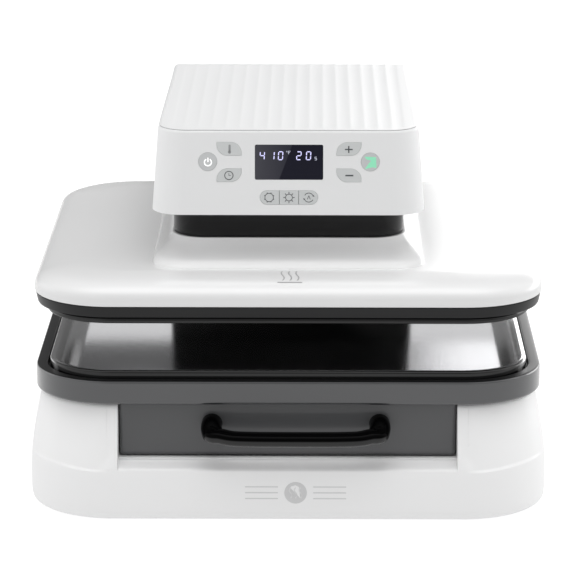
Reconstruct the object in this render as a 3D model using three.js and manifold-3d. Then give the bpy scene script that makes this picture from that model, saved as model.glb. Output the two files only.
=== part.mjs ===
// Benchtop automatic heat press: a white C-shaped body whose heated platen is driven down by a motor and
// lead screw on to a silicone mat, which sits in a tray that pulls out to the front as a drawer.
// Millimetres, +X right, +Y back, +Z up. The bench is z = 0 and the origin is the middle of the footprint.
import * as THREE from "three";
import { mergeVertices } from "three/addons/utils/BufferGeometryUtils.js";
import Module from "manifold-3d";

const wasm = await Module();
wasm.setup();

// ---------------------------------------------------------------------------------------------------
// Driving dimensions. Y is counted from the middle of the upper platen, so the finished assembly is
// moved by FOOTPRINT_SHIFT_Y to put the origin under the middle of the footprint.
const FOOTPRINT_SHIFT_Y = -7;
const GAP = 0.3;

const PRESS_Y = -7; // the press axis: lead screw, heater and sleeve are all centred on it
const STROKE_GAP = 40; // open height between heater and mat

const BASE = {
  halfX: 223.5, front: -223, back: 256, bottom: 4, shelf: 53, top: 102.5, radius: 70, wall: 3,
};
const UPPER_BASE = { front: -207, bottomHalfX: 222, topHalfX: 214.5 };
const CHANNEL = { halfX: 144, back: 170 };
const SCOOP = { x: 182, z: 84, radiusX: 41, radiusZ: 40, depth: 16 };
const FOOT = { radius: 14, height: 4.2, x: 170, front: -170, back: 205 };
const INLET = { x: -22, z: 30, halfX: 24, halfZ: 14 };
const ROCKER = { x: 34, z: 30, halfX: 14, halfZ: 10.5, pivotY: 250 };

const TRAY = {
  halfX: 218, front: -214, back: 190, bottom: 103.5, top: 124.3, radius: 68, rim: 11, floor: 6.5,
};
const MAT = { halfX: 206, front: -204, back: 186, bottom: 118.3, top: 131, radius: 56 };
const DRAWER_FRONT = { halfX: 143.2, y: -206, thickness: 3, bottom: 56.7, top: 103.2 };
const CARRIAGE = { halfX: 136.8, back: 140, bottom: 60, wall: 2 };
const RAIL = { bottom: 68, top: 88, front: -194 };
const HANDLE = { x: 7, half: 71.3, postZ: 85.5, barZ: 80, reach: 30, halfHeight: 6.6, halfDepth: 8 };

const HEATER = { half: 190.5, bottom: MAT.top + STROKE_GAP, thickness: 10, radius: 45 };
const SHELL = { halfX: 218, halfY: 215, radius: 68, bottom: 189.7, wall: 3 };
const NOTCH = { halfX: 122, front: 190 };
const SLEEVE = { halfX: 100.5, front: -114, back: 100, radius: 28, wall: 2.5, bottom: 226.3, top: 298 };
const PLINTH_TOP = 226;

const HEAD = {
  halfX: 117, front: -157, back: 250, bottom: 256, top: 328.5, radius: 27, wall: 3.5, roof: 4,
};
const HEAD_TOP_INSET = { side: 5.4, front: 5 };
const COLUMN = { front: 196, bottom: 103, sweepRadius: 95, flatEnd: 155 };
const FLUTE = { count: 17, pitch: 11.85, depth: 1.2, crest: 0.3 };
const FACE_LEAN = Math.atan2(HEAD_TOP_INSET.front, HEAD.top - HEAD.bottom);

const ARM = { bottom: 301, deck: 8, front: -95, plateInner: 88, plateOuter: 96, sweepRadius: 86 };
const ROD = { x: 70, front: PRESS_Y - 70, back: PRESS_Y + 70, radius: 5, bottom: 193.6, top: 320 };
const SCREW = { radius: 8, journal: 6, bottom: 196, shoulder: 288, top: 322 };
const GEAR = { module: 1.5, wheelTeeth: 48, pinionTeeth: 16, bottom: 311, top: 319 };
const GEAR_DISTANCE = (GEAR.module * (GEAR.wheelTeeth + GEAR.pinionTeeth)) / 2;

const PANEL_X = 0.8;
const DISPLAY = { width: 58, height: 30, centreV: 45.5 };
const ROUND_KEY = { u: 69.2, v: 45.9, radius: 8 };
const LEAF_KEY = { u: 51, upper: 57, lower: 34.3, halfU: 10.5, halfV: 5.8, bow: 9.2 };
const KEY = { proud: 0.6, depth: 5.4, flange: 1.2, clearance: 0.4 };
const MODE_KEYS = { width: 49.5, height: 12.2, centreV: 15.2, slit: 0.8 };

// ---------------------------------------------------------------------------------------------------
// Materials.
const paint = (color, roughness, metalness = 0) => ({ color, roughness, metalness });
const WHITE_GLOSS = paint(0xf1f1f0, 0.28);
const WHITE_SATIN = paint(0xececeb, 0.5);
const BLACK_GLOSS = paint(0x0b0b0c, 0.12);
const BLACK_SATIN = paint(0x1c1c1d, 0.45);
const GREY_SATIN = paint(0x4a4b4d, 0.42);
const RUBBER = paint(0x161616, 0.85);
const STEEL = paint(0x9a9ca0, 0.35, 0.9);
const ALUMINIUM = paint(0xb4b6b8, 0.4, 0.85);
const BRASS = paint(0xb9975b, 0.35, 0.85);
const KEY_GREY = paint(0xcfd1d1, 0.5);
const GLASS_NAVY = paint(0x141527, 0.08);
const BOARD_GREEN = paint(0x1f5a3a, 0.6);
const WOOL = paint(0xd8d2c4, 0.95);

// ---------------------------------------------------------------------------------------------------
// Geometry helpers.

// A closed geometry as a solid that can be joined and cut.
function solid(geometry) {
  const plain = geometry.clone();
  plain.deleteAttribute("normal");
  plain.deleteAttribute("uv");
  const merged = mergeVertices(plain, 1e-4);
  const vertProperties = merged.getAttribute("position").array;
  const triVerts = new Uint32Array(merged.index.array);
  return new wasm.Manifold(new wasm.Mesh({ numProp: 3, vertProperties, triVerts }));
}

// A solid as a geometry.
function surface(body) {
  const mesh = body.getMesh();
  const geometry = new THREE.BufferGeometry();
  geometry.setAttribute("position", new THREE.BufferAttribute(new Float32Array(mesh.vertProperties), 3));
  geometry.setIndex(new THREE.BufferAttribute(new Uint32Array(mesh.triVerts), 1));
  geometry.computeVertexNormals();
  return geometry;
}

// The outline of a rectangle with rounded corners, anticlockwise.
function roundedRect(x0, x1, y0, y1, frontRadius, backRadius = frontRadius, steps = 5) {
  const corners = [
    [x1 - backRadius, y1 - backRadius, backRadius],
    [x0 + backRadius, y1 - backRadius, backRadius],
    [x0 + frontRadius, y0 + frontRadius, frontRadius],
    [x1 - frontRadius, y0 + frontRadius, frontRadius],
  ];
  return corners.flatMap(([cx, cy, radius], quarter) =>
    Array.from({ length: steps + 1 }, (_, i) => {
      const angle = ((quarter + i / steps) * Math.PI) / 2;
      return new THREE.Vector2(cx + radius * Math.cos(angle), cy + radius * Math.sin(angle));
    }),
  );
}

// An outline raised along Z, optionally with holes.
function prism(outline, z0, z1, holes = []) {
  const shape = new THREE.Shape(outline);
  holes.forEach((hole) => shape.holes.push(new THREE.Path(hole)));
  const geometry = new THREE.ExtrudeGeometry(shape, { depth: z1 - z0, bevelEnabled: false, steps: 1 });
  return geometry.translate(0, 0, z0);
}

// An outline in (y, z) run along X.
function prismX(outline, x0, x1) {
  const geometry = prism(outline, 0, x1 - x0);
  const turn = new THREE.Matrix4().makeBasis(
    new THREE.Vector3(0, 1, 0),
    new THREE.Vector3(0, 0, 1),
    new THREE.Vector3(1, 0, 0),
  );
  return geometry.applyMatrix4(turn).translate(x0, 0, 0);
}

// A box given by its limits.
function block(x0, x1, y0, y1, z0, z1) {
  const geometry = new THREE.BoxGeometry(x1 - x0, y1 - y0, z1 - z0);
  return geometry.translate((x0 + x1) / 2, (y0 + y1) / 2, (z0 + z1) / 2);
}

// An upright cylinder.
function peg(x, y, z0, z1, radius, segments = 24) {
  const geometry = new THREE.CylinderGeometry(radius, radius, z1 - z0, segments);
  return geometry.rotateX(Math.PI / 2).translate(x, y, (z0 + z1) / 2);
}

// A cylinder along Y.
function pegY(x, z, y0, y1, radius, segments = 24) {
  const geometry = new THREE.CylinderGeometry(radius, radius, y1 - y0, segments);
  return geometry.translate(x, (y0 + y1) / 2, z);
}

// An upright turned piece, from its closed profile of [radius, height] pairs.
function turned(x, y, profile, segments = 20) {
  const points = profile.map(([radius, height]) => new THREE.Vector2(radius, height));
  return new THREE.LatheGeometry(points, segments).rotateX(Math.PI / 2).translate(x, y, 0);
}

// A body through a stack of outlines that all hold the same number of points.
function loft(rings) {
  const first = rings[0].outline;
  const count = rings.length - 1;
  const geometry = new THREE.ExtrudeGeometry(new THREE.Shape(first), {
    depth: count,
    steps: count,
    bevelEnabled: false,
  });
  const position = geometry.getAttribute("position");
  for (let i = 0; i < position.count; i += 1) {
    const ring = rings[Math.round(position.getZ(i))];
    const here = new THREE.Vector2(position.getX(i), position.getY(i));
    const distances = first.map((point) => point.distanceToSquared(here));
    const point = ring.outline[distances.indexOf(Math.min(...distances))];
    position.setXYZ(i, point.x, point.y, ring.z);
  }
  return geometry;
}

const join = (...geometries) => geometries.map(solid).reduce((a, b) => a.add(b));
const cut = (body, ...geometries) => geometries.map(solid).reduce((a, b) => a.subtract(b), body);

// ---------------------------------------------------------------------------------------------------
// Base.

function baseRing(z, inset, halfX, front) {
  const radius = BASE.radius - inset;
  const back = BASE.back - inset;
  return { z, outline: roundedRect(-halfX + inset, halfX - inset, front + inset, back, radius) };
}

// The outside of the base, drawn in by an offset: a skirt, and a narrower body standing on it.
function baseOutside(offset) {
  const skirt = loft([
    baseRing(BASE.bottom, offset + 4, BASE.halfX, BASE.front),
    baseRing(BASE.bottom + 4, offset + 1, BASE.halfX, BASE.front),
    baseRing(BASE.bottom + 12, offset, BASE.halfX, BASE.front),
    baseRing(BASE.shelf - 4 - offset, offset + 0.5, BASE.halfX, BASE.front),
    baseRing(BASE.shelf - offset, offset + 4, BASE.halfX, BASE.front),
  ]);
  const upper = loft([
    baseRing(BASE.bottom + 1, offset + 2, UPPER_BASE.bottomHalfX, UPPER_BASE.front),
    baseRing(BASE.shelf, offset, UPPER_BASE.bottomHalfX, UPPER_BASE.front),
    baseRing(BASE.top - offset, offset, UPPER_BASE.topHalfX, UPPER_BASE.front),
  ]);
  return join(skirt, upper);
}

// The hollow pressed into the front of the base on each side of the drawer, for the fingers.
function scoop(side, offset) {
  const geometry = new THREE.SphereGeometry(1, 16, 10);
  geometry.scale(SCOOP.radiusX + offset, SCOOP.depth + offset, SCOOP.radiusZ + offset);
  return geometry.translate(side * SCOOP.x, UPPER_BASE.front - 3, SCOOP.z);
}

function baseShell() {
  const channelOutside = block(
    -CHANNEL.halfX - BASE.wall, CHANNEL.halfX + BASE.wall,
    BASE.front, CHANNEL.back + BASE.wall,
    BASE.shelf - BASE.wall, BASE.top,
  );
  const channelInside = block(
    -CHANNEL.halfX, CHANNEL.halfX, BASE.front - 10, CHANNEL.back, BASE.shelf, BASE.top + 10,
  );
  const mouth = prism(roundedRect(-214, 214, -214, 247, 60), BASE.bottom - 1, BASE.bottom + 3);
  const hollow = cut(
    baseOutside(BASE.wall).add(solid(mouth)),
    channelOutside, scoop(-1, BASE.wall), scoop(1, BASE.wall),
  );
  const columnHole = block(-99, 99, 201, 245, BASE.top - 10, BASE.top + 10);
  return cut(
    baseOutside(0).subtract(hollow),
    channelInside, columnHole, scoop(-1, 0), scoop(1, 0),
    rearOpening(INLET), rearOpening(ROCKER),
  );
}

const rearOpening = ({ x, z, halfX, halfZ }) =>
  block(x - halfX, x + halfX, 240, 262, z - halfZ, z + halfZ);

const basePlate = () =>
  solid(prism(roundedRect(-213, 213, -213, 246, 58), BASE.bottom + 0.5, BASE.bottom + 2.5));

function foot(x, y) {
  const { radius, height } = FOOT;
  return turned(x, y, [[0, 0], [radius - 1, 0], [radius, 1], [radius - 2, height], [0, height]], 24);
}

// The mains inlet: a flanged housing with a socket that holds three blades.
function powerInlet() {
  const { x, z } = INLET;
  const flange = block(x - 27, x + 27, BASE.back + GAP, 258, z - 16, z + 16);
  const housing = block(x - 23.6, x + 23.6, 228, BASE.back + 1, z - 13.6, z + 13.6);
  const socket = block(x - 12.5, x + 12.5, 242, 262, z - 9, z + 9);
  const body = cut(join(flange, housing), socket);
  const blades = [[-7, -2], [0, 2], [7, -2]].map(([dx, dz]) =>
    solid(block(x + dx - 1, x + dx + 1, 240, 254, z + dz, z + dz + 5)));
  return blades.reduce((inlet, blade) => inlet.add(blade), body);
}

function rockerBezel() {
  const { x, z } = ROCKER;
  const flange = block(x - 16, x + 16, BASE.back + GAP, 257.6, z - 12.5, z + 12.5);
  const housing = block(x - 13.6, x + 13.6, 238, BASE.back + 1, z - 10.1, z + 10.1);
  const well = block(x - 11, x + 11, 241, 262, z - 8, z + 8);
  return cut(join(flange, housing), well);
}

// The rocker's two faces meet in a shallow valley on its pivot line.
function rocker() {
  const { x, z, pivotY } = ROCKER;
  const outline = [
    [pivotY - 4, z - 4], [pivotY + 5.6, z - 7.2], [pivotY + 7, z - 6.4], [pivotY + 4.8, z],
    [pivotY + 7, z + 6.4], [pivotY + 5.6, z + 7.2], [pivotY - 4, z + 4],
  ].map(([y, height]) => new THREE.Vector2(y, height));
  return prismX(outline, x - 10.6, x + 10.6);
}

// ---------------------------------------------------------------------------------------------------
// Steel frame: two C-shaped side plates, the deck between their arms and two ties between their feet.

function framePlate(x0, x1) {
  const shape = new THREE.Shape();
  shape.moveTo(-190, 7);
  shape.lineTo(241, 7);
  shape.lineTo(241, HEAD.top - COLUMN.sweepRadius);
  shape.absarc(COLUMN.flatEnd, HEAD.top - COLUMN.sweepRadius, ARM.sweepRadius, 0, Math.PI / 2, false);
  shape.lineTo(ARM.front, HEAD.top - COLUMN.sweepRadius + ARM.sweepRadius);
  shape.lineTo(ARM.front, ARM.bottom);
  shape.lineTo(184, ARM.bottom);
  shape.absarc(184, ARM.bottom - 20, 20, Math.PI / 2, 0, true);
  shape.lineTo(204, 49.5);
  shape.lineTo(-190, 49.5);
  return prismX(shape.extractPoints(4).shape, x0, x1);
}

function pressFrame() {
  const inner = ARM.plateInner;
  const deck = block(-inner - 1, inner + 1, ARM.front, 190, ARM.bottom, ARM.bottom + ARM.deck);
  const frontTie = block(-inner - 1, inner + 1, -185, -175, 10, 40);
  const backTie = block(-inner - 1, inner + 1, 215, 225, 10, 60);
  const holes = rodPlaces().map(([x, y]) => peg(x, y, 290, 315, ROD.radius + 0.8));
  return cut(
    join(framePlate(-ARM.plateOuter, -inner), framePlate(inner, ARM.plateOuter), deck, frontTie, backTie),
    ...holes,
    peg(0, PRESS_Y, 290, 315, SCREW.journal + 0.6),
    peg(-GEAR_DISTANCE, PRESS_Y, 290, 315, 5),
  );
}

const rodPlaces = () =>
  [ROD.front, ROD.back].flatMap((y) => [-ROD.x, ROD.x].map((x) => [x, y]));

// ---------------------------------------------------------------------------------------------------
// Head: the white cover that hangs over the platen and runs down the back as a column.

function headRing(z, offset, rise) {
  const side = HEAD.halfX - offset - rise * HEAD_TOP_INSET.side;
  const front = HEAD.front + offset + rise * HEAD_TOP_INSET.front;
  return { z, outline: roundedRect(-side, side, front, HEAD.back + 20, HEAD.radius - offset, 19, 7) };
}

// The side view of the cover: flat roof, a quarter turn at the back, and the column.
function headSide(offset, roof, bottom, columnBottom) {
  const sweepZ = HEAD.top - COLUMN.sweepRadius;
  const radius = COLUMN.sweepRadius - roof;
  const shape = new THREE.Shape();
  shape.moveTo(HEAD.front - 20, bottom);
  shape.lineTo(COLUMN.front, bottom);
  if (offset > 0) {
    shape.lineTo(COLUMN.front, HEAD.bottom);
    shape.lineTo(COLUMN.front + offset, HEAD.bottom);
  }
  shape.lineTo(COLUMN.front + offset, columnBottom);
  shape.lineTo(COLUMN.flatEnd + radius, columnBottom);
  shape.lineTo(COLUMN.flatEnd + radius, sweepZ);
  shape.absarc(COLUMN.flatEnd, sweepZ, radius, 0, Math.PI / 2, false);
  shape.lineTo(HEAD.front - 20, HEAD.top - roof);
  return prismX(shape.extractPoints(6).shape, -HEAD.halfX - 10, HEAD.halfX + 10);
}

function headEnvelope(offset) {
  return loft([
    headRing(COLUMN.bottom - 20, offset, 0),
    headRing(HEAD.bottom, offset, 0),
    headRing(HEAD.top + 1, offset, 1),
  ]);
}

// The flutes' cutter: side by side shallow hollows that run along the flat of the roof.
function fluteCutter() {
  const { count, pitch, depth, crest } = FLUTE;
  const start = (-count / 2) * pitch;
  const hollows = Array.from({ length: count }, (_, i) => start + i * pitch).flatMap((x) => [
    new THREE.Vector2(x, -crest),
    new THREE.Vector2(x + pitch * 0.27, -depth),
    new THREE.Vector2(x + pitch * 0.73, -depth),
  ]);
  const lid = [[-start, -crest], [-start, 2], [start, 2]].map(([x, z]) => new THREE.Vector2(x, z));
  const section = [...hollows, ...lid];
  const length = COLUMN.flatEnd - HEAD.front - 16;
  return prism(section, 0, length).rotateX(Math.PI / 2).translate(0, COLUMN.flatEnd - 6, HEAD.top);
}

function headCover() {
  const outside = solid(headEnvelope(0)).intersect(solid(headSide(0, 0, HEAD.bottom, COLUMN.bottom)));
  const inside = solid(headEnvelope(HEAD.wall)).intersect(
    solid(headSide(HEAD.wall, HEAD.roof, HEAD.bottom - 6, COLUMN.bottom - 10)),
  );
  const ventOpening = block(-88, 88, HEAD.back - 8, HEAD.back + 8, 128, 226);
  return cut(cut(outside.subtract(inside), fluteCutter(), ventOpening), ...panelCutters());
}

function headUnderside() {
  const { halfX, front, back, radius } = SLEEVE;
  const room = 0.8;
  const well = roundedRect(-halfX - room, halfX + room, front - room, back + room, radius + room);
  const outline = roundedRect(-HEAD.halfX + 4, HEAD.halfX - 4, HEAD.front + 4.2, COLUMN.front - GAP, 25, 4);
  return solid(prism(outline, HEAD.bottom, HEAD.bottom + 3, [well]));
}

// The louvred panel that closes the back of the column.
function rearPanel() {
  const slots = Array.from({ length: 9 }, (_, i) => block(-60, 60, 240, 255, 142 + i * 8, 145.5 + i * 8));
  return cut(solid(block(-87.7, 87.7, HEAD.back - 3.2, HEAD.back - 0.4, 128.3, 225.7)), ...slots);
}

// ---------------------------------------------------------------------------------------------------
// Control panel, drawn in the plane of the leaning front face: u to the right, v up the face from its
// bottom edge, w outwards.

function onPanel(geometry) {
  return geometry.rotateX(Math.PI / 2 - FACE_LEAN).translate(PANEL_X, HEAD.front, HEAD.bottom);
}

const circle = (u, v, radius, steps = 20) =>
  Array.from({ length: steps }, (_, i) => {
    const angle = (i / steps) * Math.PI * 2;
    return new THREE.Vector2(u + radius * Math.cos(angle), v + radius * Math.sin(angle));
  });

// A leaf: two opposite corners are square and the other two are wide curves. lean is +1 when the square
// corners are the lower left and the upper right.
function leaf(u, v, lean, grow = 0) {
  const halfU = LEAF_KEY.halfU + grow;
  const halfV = LEAF_KEY.halfV + grow;
  const bow = LEAF_KEY.bow + grow;
  const steps = 6;
  const arc = Array.from({ length: steps + 1 }, (_, i) => (i / steps) * (Math.PI / 2));
  const half = arc.map((t) => [halfU - bow + bow * Math.sin(t), -halfV + bow * (1 - Math.cos(t))]);
  const lower = [[-halfU, -halfV], ...half.filter(([, height]) => height < halfV)];
  const outline = [...lower, ...lower.map(([a, b]) => [-a, -b])];
  const points = outline.map(([a, b]) => new THREE.Vector2(u + a * lean, v + b));
  return lean > 0 ? points : points.reverse();
}

// A third of the mode strip: the ends are half round and the middle one is square.
function modeSegment(index, grow = 0) {
  const { width, height, centreV, slit } = MODE_KEYS;
  const radius = height / 2 + grow;
  const edge = width / 6 - slit / 2 + grow;
  const steps = 8;
  if (index === 0) return roundedRect(-edge, edge, centreV - radius, centreV + radius, 0.4, 0.4, 1);
  const endU = width / 2 + grow;
  const round = Array.from({ length: steps + 1 }, (_, i) => {
    const angle = -Math.PI / 2 + (i / steps) * Math.PI;
    const reach = endU - radius + radius * Math.cos(angle);
    return new THREE.Vector2(index * reach, centreV + radius * Math.sin(angle));
  });
  const start = index * (width / 6 + slit / 2 - grow);
  const inner = [centreV + radius, centreV - radius].map((v) => new THREE.Vector2(start, v));
  const points = [...inner, ...round];
  return index > 0 ? points : points.reverse();
}

const KEYS = {
  key_power: (grow) => circle(-ROUND_KEY.u, ROUND_KEY.v, ROUND_KEY.radius + grow),
  key_start: (grow) => circle(ROUND_KEY.u, ROUND_KEY.v, ROUND_KEY.radius + grow),
  key_temperature: (grow) => leaf(-LEAF_KEY.u, LEAF_KEY.upper, -1, grow),
  key_timer: (grow) => leaf(-LEAF_KEY.u, LEAF_KEY.lower, 1, grow),
  key_plus: (grow) => leaf(LEAF_KEY.u, LEAF_KEY.upper, 1, grow),
  key_minus: (grow) => leaf(LEAF_KEY.u, LEAF_KEY.lower, -1, grow),
  key_mode_left: (grow) => modeSegment(-1, grow),
  key_mode_middle: (grow) => modeSegment(0, grow),
  key_mode_right: (grow) => modeSegment(1, grow),
};

const displayOutline = (grow) =>
  roundedRect(
    -DISPLAY.width / 2 - grow, DISPLAY.width / 2 + grow,
    DISPLAY.centreV - DISPLAY.height / 2 - grow, DISPLAY.centreV + DISPLAY.height / 2 + grow,
    1.5, 1.5, 2,
  );

// Openings through the front wall. The mode keys share one opening, so their slits are open to each other.
function panelCutters() {
  const { width, height, centreV } = MODE_KEYS;
  const strip = roundedRect(
    -width / 2 - KEY.clearance, width / 2 + KEY.clearance,
    centreV - height / 2 - KEY.clearance, centreV + height / 2 + KEY.clearance,
    height / 2 + KEY.clearance - 0.01,
  );
  const single = Object.entries(KEYS).filter(([name]) => !name.startsWith("key_mode"));
  const outlines = [strip, displayOutline(GAP), ...single.map(([, outline]) => outline(KEY.clearance))];
  return outlines.map((outline) => onPanel(prism(outline, -HEAD.wall - 2, 2)));
}

// A key cap with a low flange behind the wall that keeps it in its opening.
function key(name) {
  const outline = KEYS[name];
  const isMode = name.startsWith("key_mode");
  const flangeTop = -HEAD.wall - 0.5;
  const cap = prism(outline(0), -KEY.depth, KEY.proud);
  if (isMode) return solid(onPanel(cap));
  const flange = prism(outline(KEY.flange), -KEY.depth, flangeTop);
  return solid(onPanel(cap)).add(solid(onPanel(flange)));
}

const displayLens = () => solid(onPanel(prism(displayOutline(0), -2.6, -0.1)));
const displayModule = () => {
  const { width, height, centreV } = DISPLAY;
  const halfU = width / 2 + 2;
  const halfV = height / 2 + 1;
  return solid(onPanel(block(-halfU, halfU, centreV - halfV, centreV + halfV, -8.2, -4)));
};
const controlBoard = () => solid(onPanel(block(-84, 84, 5, 62, -10.1, -8.5)));

// ---------------------------------------------------------------------------------------------------
// Platen: the moving upper assembly.

function shellRing(z, inset, offset = 0) {
  const halfX = SHELL.halfX - inset - offset;
  const halfY = SHELL.halfY - inset - offset;
  const radius = Math.max(SHELL.radius - offset - inset * 0.75, 16);
  return { z, outline: roundedRect(-halfX, halfX, -halfY, halfY, radius, radius, 6) };
}

// The pillow: a short upright edge that turns over into a long, low crown.
function pillow(offset) {
  return loft([
    shellRing(SHELL.bottom - (offset ? 2 : 0), 0, offset),
    shellRing(196.5 - offset * 0.6, 0, offset),
    shellRing(200.4 - offset, 3, offset),
    shellRing(203.8 - offset, 11, offset),
    shellRing(207.4 - offset, 30, offset),
    shellRing(210.4 - offset, 58, offset),
    shellRing(211.6 - offset, 78, offset),
  ]);
}

// The plinth: a hollow-sided rise from the crown up to the sleeve.
function plinth(offset) {
  const ring = (z, side, front, back, radius) => {
    const halfX = side - offset;
    const corner = radius - offset;
    return {
      z: z - (z > 205 ? offset : 0),
      outline: roundedRect(-halfX, halfX, front + offset, back - offset, corner, corner, 6),
    };
  };
  return loft([
    ring(200, 121, -160, 132, 36),
    ring(209.5, 121, -160, 132, 36),
    ring(213.4, 115, -149, 124, 35),
    ring(217.4, 110, -137, 116, 34),
    ring(222, 106, -125, 109, 32),
    ring(PLINTH_TOP, 103.8, -117.3, 103.3, 31),
  ]);
}

const rearNotch = (grow, z0, z1) =>
  block(-NOTCH.halfX - grow, NOTCH.halfX + grow, NOTCH.front - grow, SHELL.halfY + 20, z0, z1);

function platenCover() {
  const shape = (offset) =>
    join(pillow(offset), plinth(offset)).subtract(solid(rearNotch(offset, 180, 240)));
  const throat = prism(
    roundedRect(-SLEEVE.halfX + 3.5, SLEEVE.halfX - 3.5, SLEEVE.front + 3.5, SLEEVE.back - 3.5, 24.5),
    205, 240,
  );
  return cut(shape(0).subtract(shape(SHELL.wall)), throat);
}

// The dark band under the cover, drawn in a little towards its lower edge.
function platenTrim() {
  const outside = loft([shellRing(179.7, 2.2), shellRing(181, 1.2), shellRing(SHELL.bottom - GAP, 0.4)]);
  const inside = prism(roundedRect(-204, 204, -201, SHELL.halfY - 8, 54, 54, 6), 170, 200);
  const ring = cut(solid(outside), inside, rearNotch(0, 170, 200));
  const barX = NOTCH.halfX + 4;
  const rearBar = block(-barX, barX, NOTCH.front - 6, NOTCH.front - 1.5, 179.7, SHELL.bottom - GAP);
  const rearEnds = [-1, 1].map((side) => block(
    Math.min(side * (NOTCH.halfX + 0.5), side * (NOTCH.halfX + 5)),
    Math.max(side * (NOTCH.halfX + 0.5), side * (NOTCH.halfX + 5)),
    NOTCH.front - 6, SHELL.halfY - 6, 179.7, SHELL.bottom - GAP,
  ));
  return ring.add(join(rearBar, ...rearEnds));
}

// The frame that carries the edge of the heated plate.
function heaterFrame() {
  const outline = roundedRect(-207, 207, -204, 187, 57, 20, 6);
  const opening = roundedRect(-191.2, 191.2, PRESS_Y - 191.2, PRESS_Y + 191.2, 45.7);
  return solid(prism(outline, HEATER.bottom + 1.4, 179.4, [opening]));
}

function heaterPlate() {
  const { half, bottom, thickness, radius } = HEATER;
  const ring = (z, inset) => ({
    z,
    outline: roundedRect(
      -half + inset, half - inset, PRESS_Y - half + inset, PRESS_Y + half - inset, radius,
    ),
  });
  return solid(loft([ring(bottom, 0.8), ring(bottom + 0.8, 0), ring(bottom + thickness, 0)]));
}

const insulation = () =>
  solid(prism(roundedRect(-185, 185, PRESS_Y - 185, PRESS_Y + 185, 40), 181.3, 187));

// The stiff plate that spreads the screw's push over the heater.
function pressurePlate() {
  const plate = prism(roundedRect(-150, 150, PRESS_Y - 120, PRESS_Y + 120, 20), 187.3, 193.3);
  const windows = [-1, 1].map((side) =>
    prism(roundedRect(side * 115 - 20, side * 115 + 20, PRESS_Y - 70, PRESS_Y + 70, 8, 8, 3), 180, 200));
  return cut(solid(plate), ...windows);
}

const nutTower = () =>
  turned(0, PRESS_Y, [
    [14, 193.6], [34, 193.6], [34, 197], [24, 201], [24, 258], [14, 258], [14, 193.6],
  ]);

const screwNut = () =>
  turned(0, PRESS_Y, [
    [8.4, 238], [13.6, 238], [13.6, 258.3], [22, 258.3], [22, 264], [8.4, 264], [8.4, 238],
  ]);

const guideRod = (x, y) => peg(x, y, ROD.bottom, ROD.top, ROD.radius, 16);

const guideBush = (x, y) =>
  turned(x, y, [
    [5.2, 262], [9, 262], [9, 296.7], [13, 296.7], [13, 300.7], [5.2, 300.7], [5.2, 262],
  ], 16);

function neckSleeve() {
  const { halfX, front, back, radius, wall, bottom, top } = SLEEVE;
  const outline = (inset) =>
    roundedRect(
      -halfX + inset, halfX - inset, front + inset, back - inset, radius - inset, radius - inset, 6,
    );
  return solid(prism(outline(0), bottom, top, [outline(wall)]));
}

// ---------------------------------------------------------------------------------------------------
// Drive.

const leadScrew = () =>
  turned(0, PRESS_Y, [
    [0, SCREW.bottom], [SCREW.radius - 1, SCREW.bottom], [SCREW.radius, SCREW.bottom + 1],
    [SCREW.radius, SCREW.shoulder], [SCREW.journal, SCREW.shoulder],
    [SCREW.journal, SCREW.top], [0, SCREW.top],
  ], 24);

const thrustBearing = () =>
  turned(0, PRESS_Y, [[6.5, 289], [18, 289], [18, 300.7], [6.5, 300.7], [6.5, 289]]);

// A spur gear outline with slim, straight-sided teeth.
function gearOutline(teeth, phase) {
  const pitch = (GEAR.module * teeth) / 2;
  const toothAngle = (2 * Math.PI) / teeth;
  const corners = [[-0.33, -2], [-0.14, 1.15], [0.14, 1.15], [0.33, -2]];
  return Array.from({ length: teeth }, (_, i) => i).flatMap((i) =>
    corners.map(([share, rise]) => {
      const angle = (i + phase + share * (teeth > 20 ? 1 : 0.92)) * toothAngle;
      return new THREE.Vector2((pitch + rise) * Math.cos(angle), (pitch + rise) * Math.sin(angle));
    }),
  );
}

function screwGear() {
  const bore = circle(0, 0, SCREW.journal + GAP);
  const wheel = prism(gearOutline(GEAR.wheelTeeth, 0), GEAR.bottom, GEAR.top, [bore]);
  const windows = Array.from({ length: 5 }, (_, i) => {
    const angle = (i / 5) * Math.PI * 2;
    return peg(21 * Math.cos(angle), 21 * Math.sin(angle), GEAR.bottom - 1, GEAR.top + 1, 7, 10);
  });
  return cut(solid(wheel), ...windows);
}

function motorPinion() {
  const teeth = solid(prism(gearOutline(GEAR.pinionTeeth, 0.5), GEAR.bottom, GEAR.top));
  return teeth.add(solid(peg(0, 0, 301.4, GEAR.bottom + 1, 4, 20)));
}

function gearmotor() {
  const x = -GEAR_DISTANCE;
  const can = turned(x, PRESS_Y, [
    [0, 235], [15, 235], [16.5, 237], [16.5, 272], [18.5, 272], [18.5, 300.7], [0, 300.7],
  ], 28);
  const terminals = block(x - 8, x + 8, PRESS_Y - 3, PRESS_Y + 3, 229, 236);
  return join(can, terminals);
}

// ---------------------------------------------------------------------------------------------------
// Drawer.

function trayRing(z, inset) {
  const { halfX, front, back, radius } = TRAY;
  return {
    z,
    outline: roundedRect(
      -halfX + inset, halfX - inset, front + inset, back - inset, radius - inset, 24 - inset, 6,
    ),
  };
}

function drawerTray() {
  const outside = loft([
    trayRing(TRAY.bottom, 2.2), trayRing(TRAY.bottom + 2.2, 0),
    trayRing(TRAY.top - 1.4, 0), trayRing(TRAY.top, 1.4),
  ]);
  const { halfX, front, back, radius, rim } = TRAY;
  const recess = prism(
    roundedRect(-halfX + rim, halfX - rim, front + rim - 2, back - 3, radius - rim, 14, 6),
    TRAY.bottom + TRAY.floor, TRAY.top + 10,
  );
  return cut(solid(outside), recess);
}

function matRing(z, inset) {
  const { halfX, front, back, radius } = MAT;
  return {
    z,
    outline: roundedRect(
      -halfX + inset, halfX - inset, front + inset, back - inset, radius - inset, 13 - inset, 6,
    ),
  };
}

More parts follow.
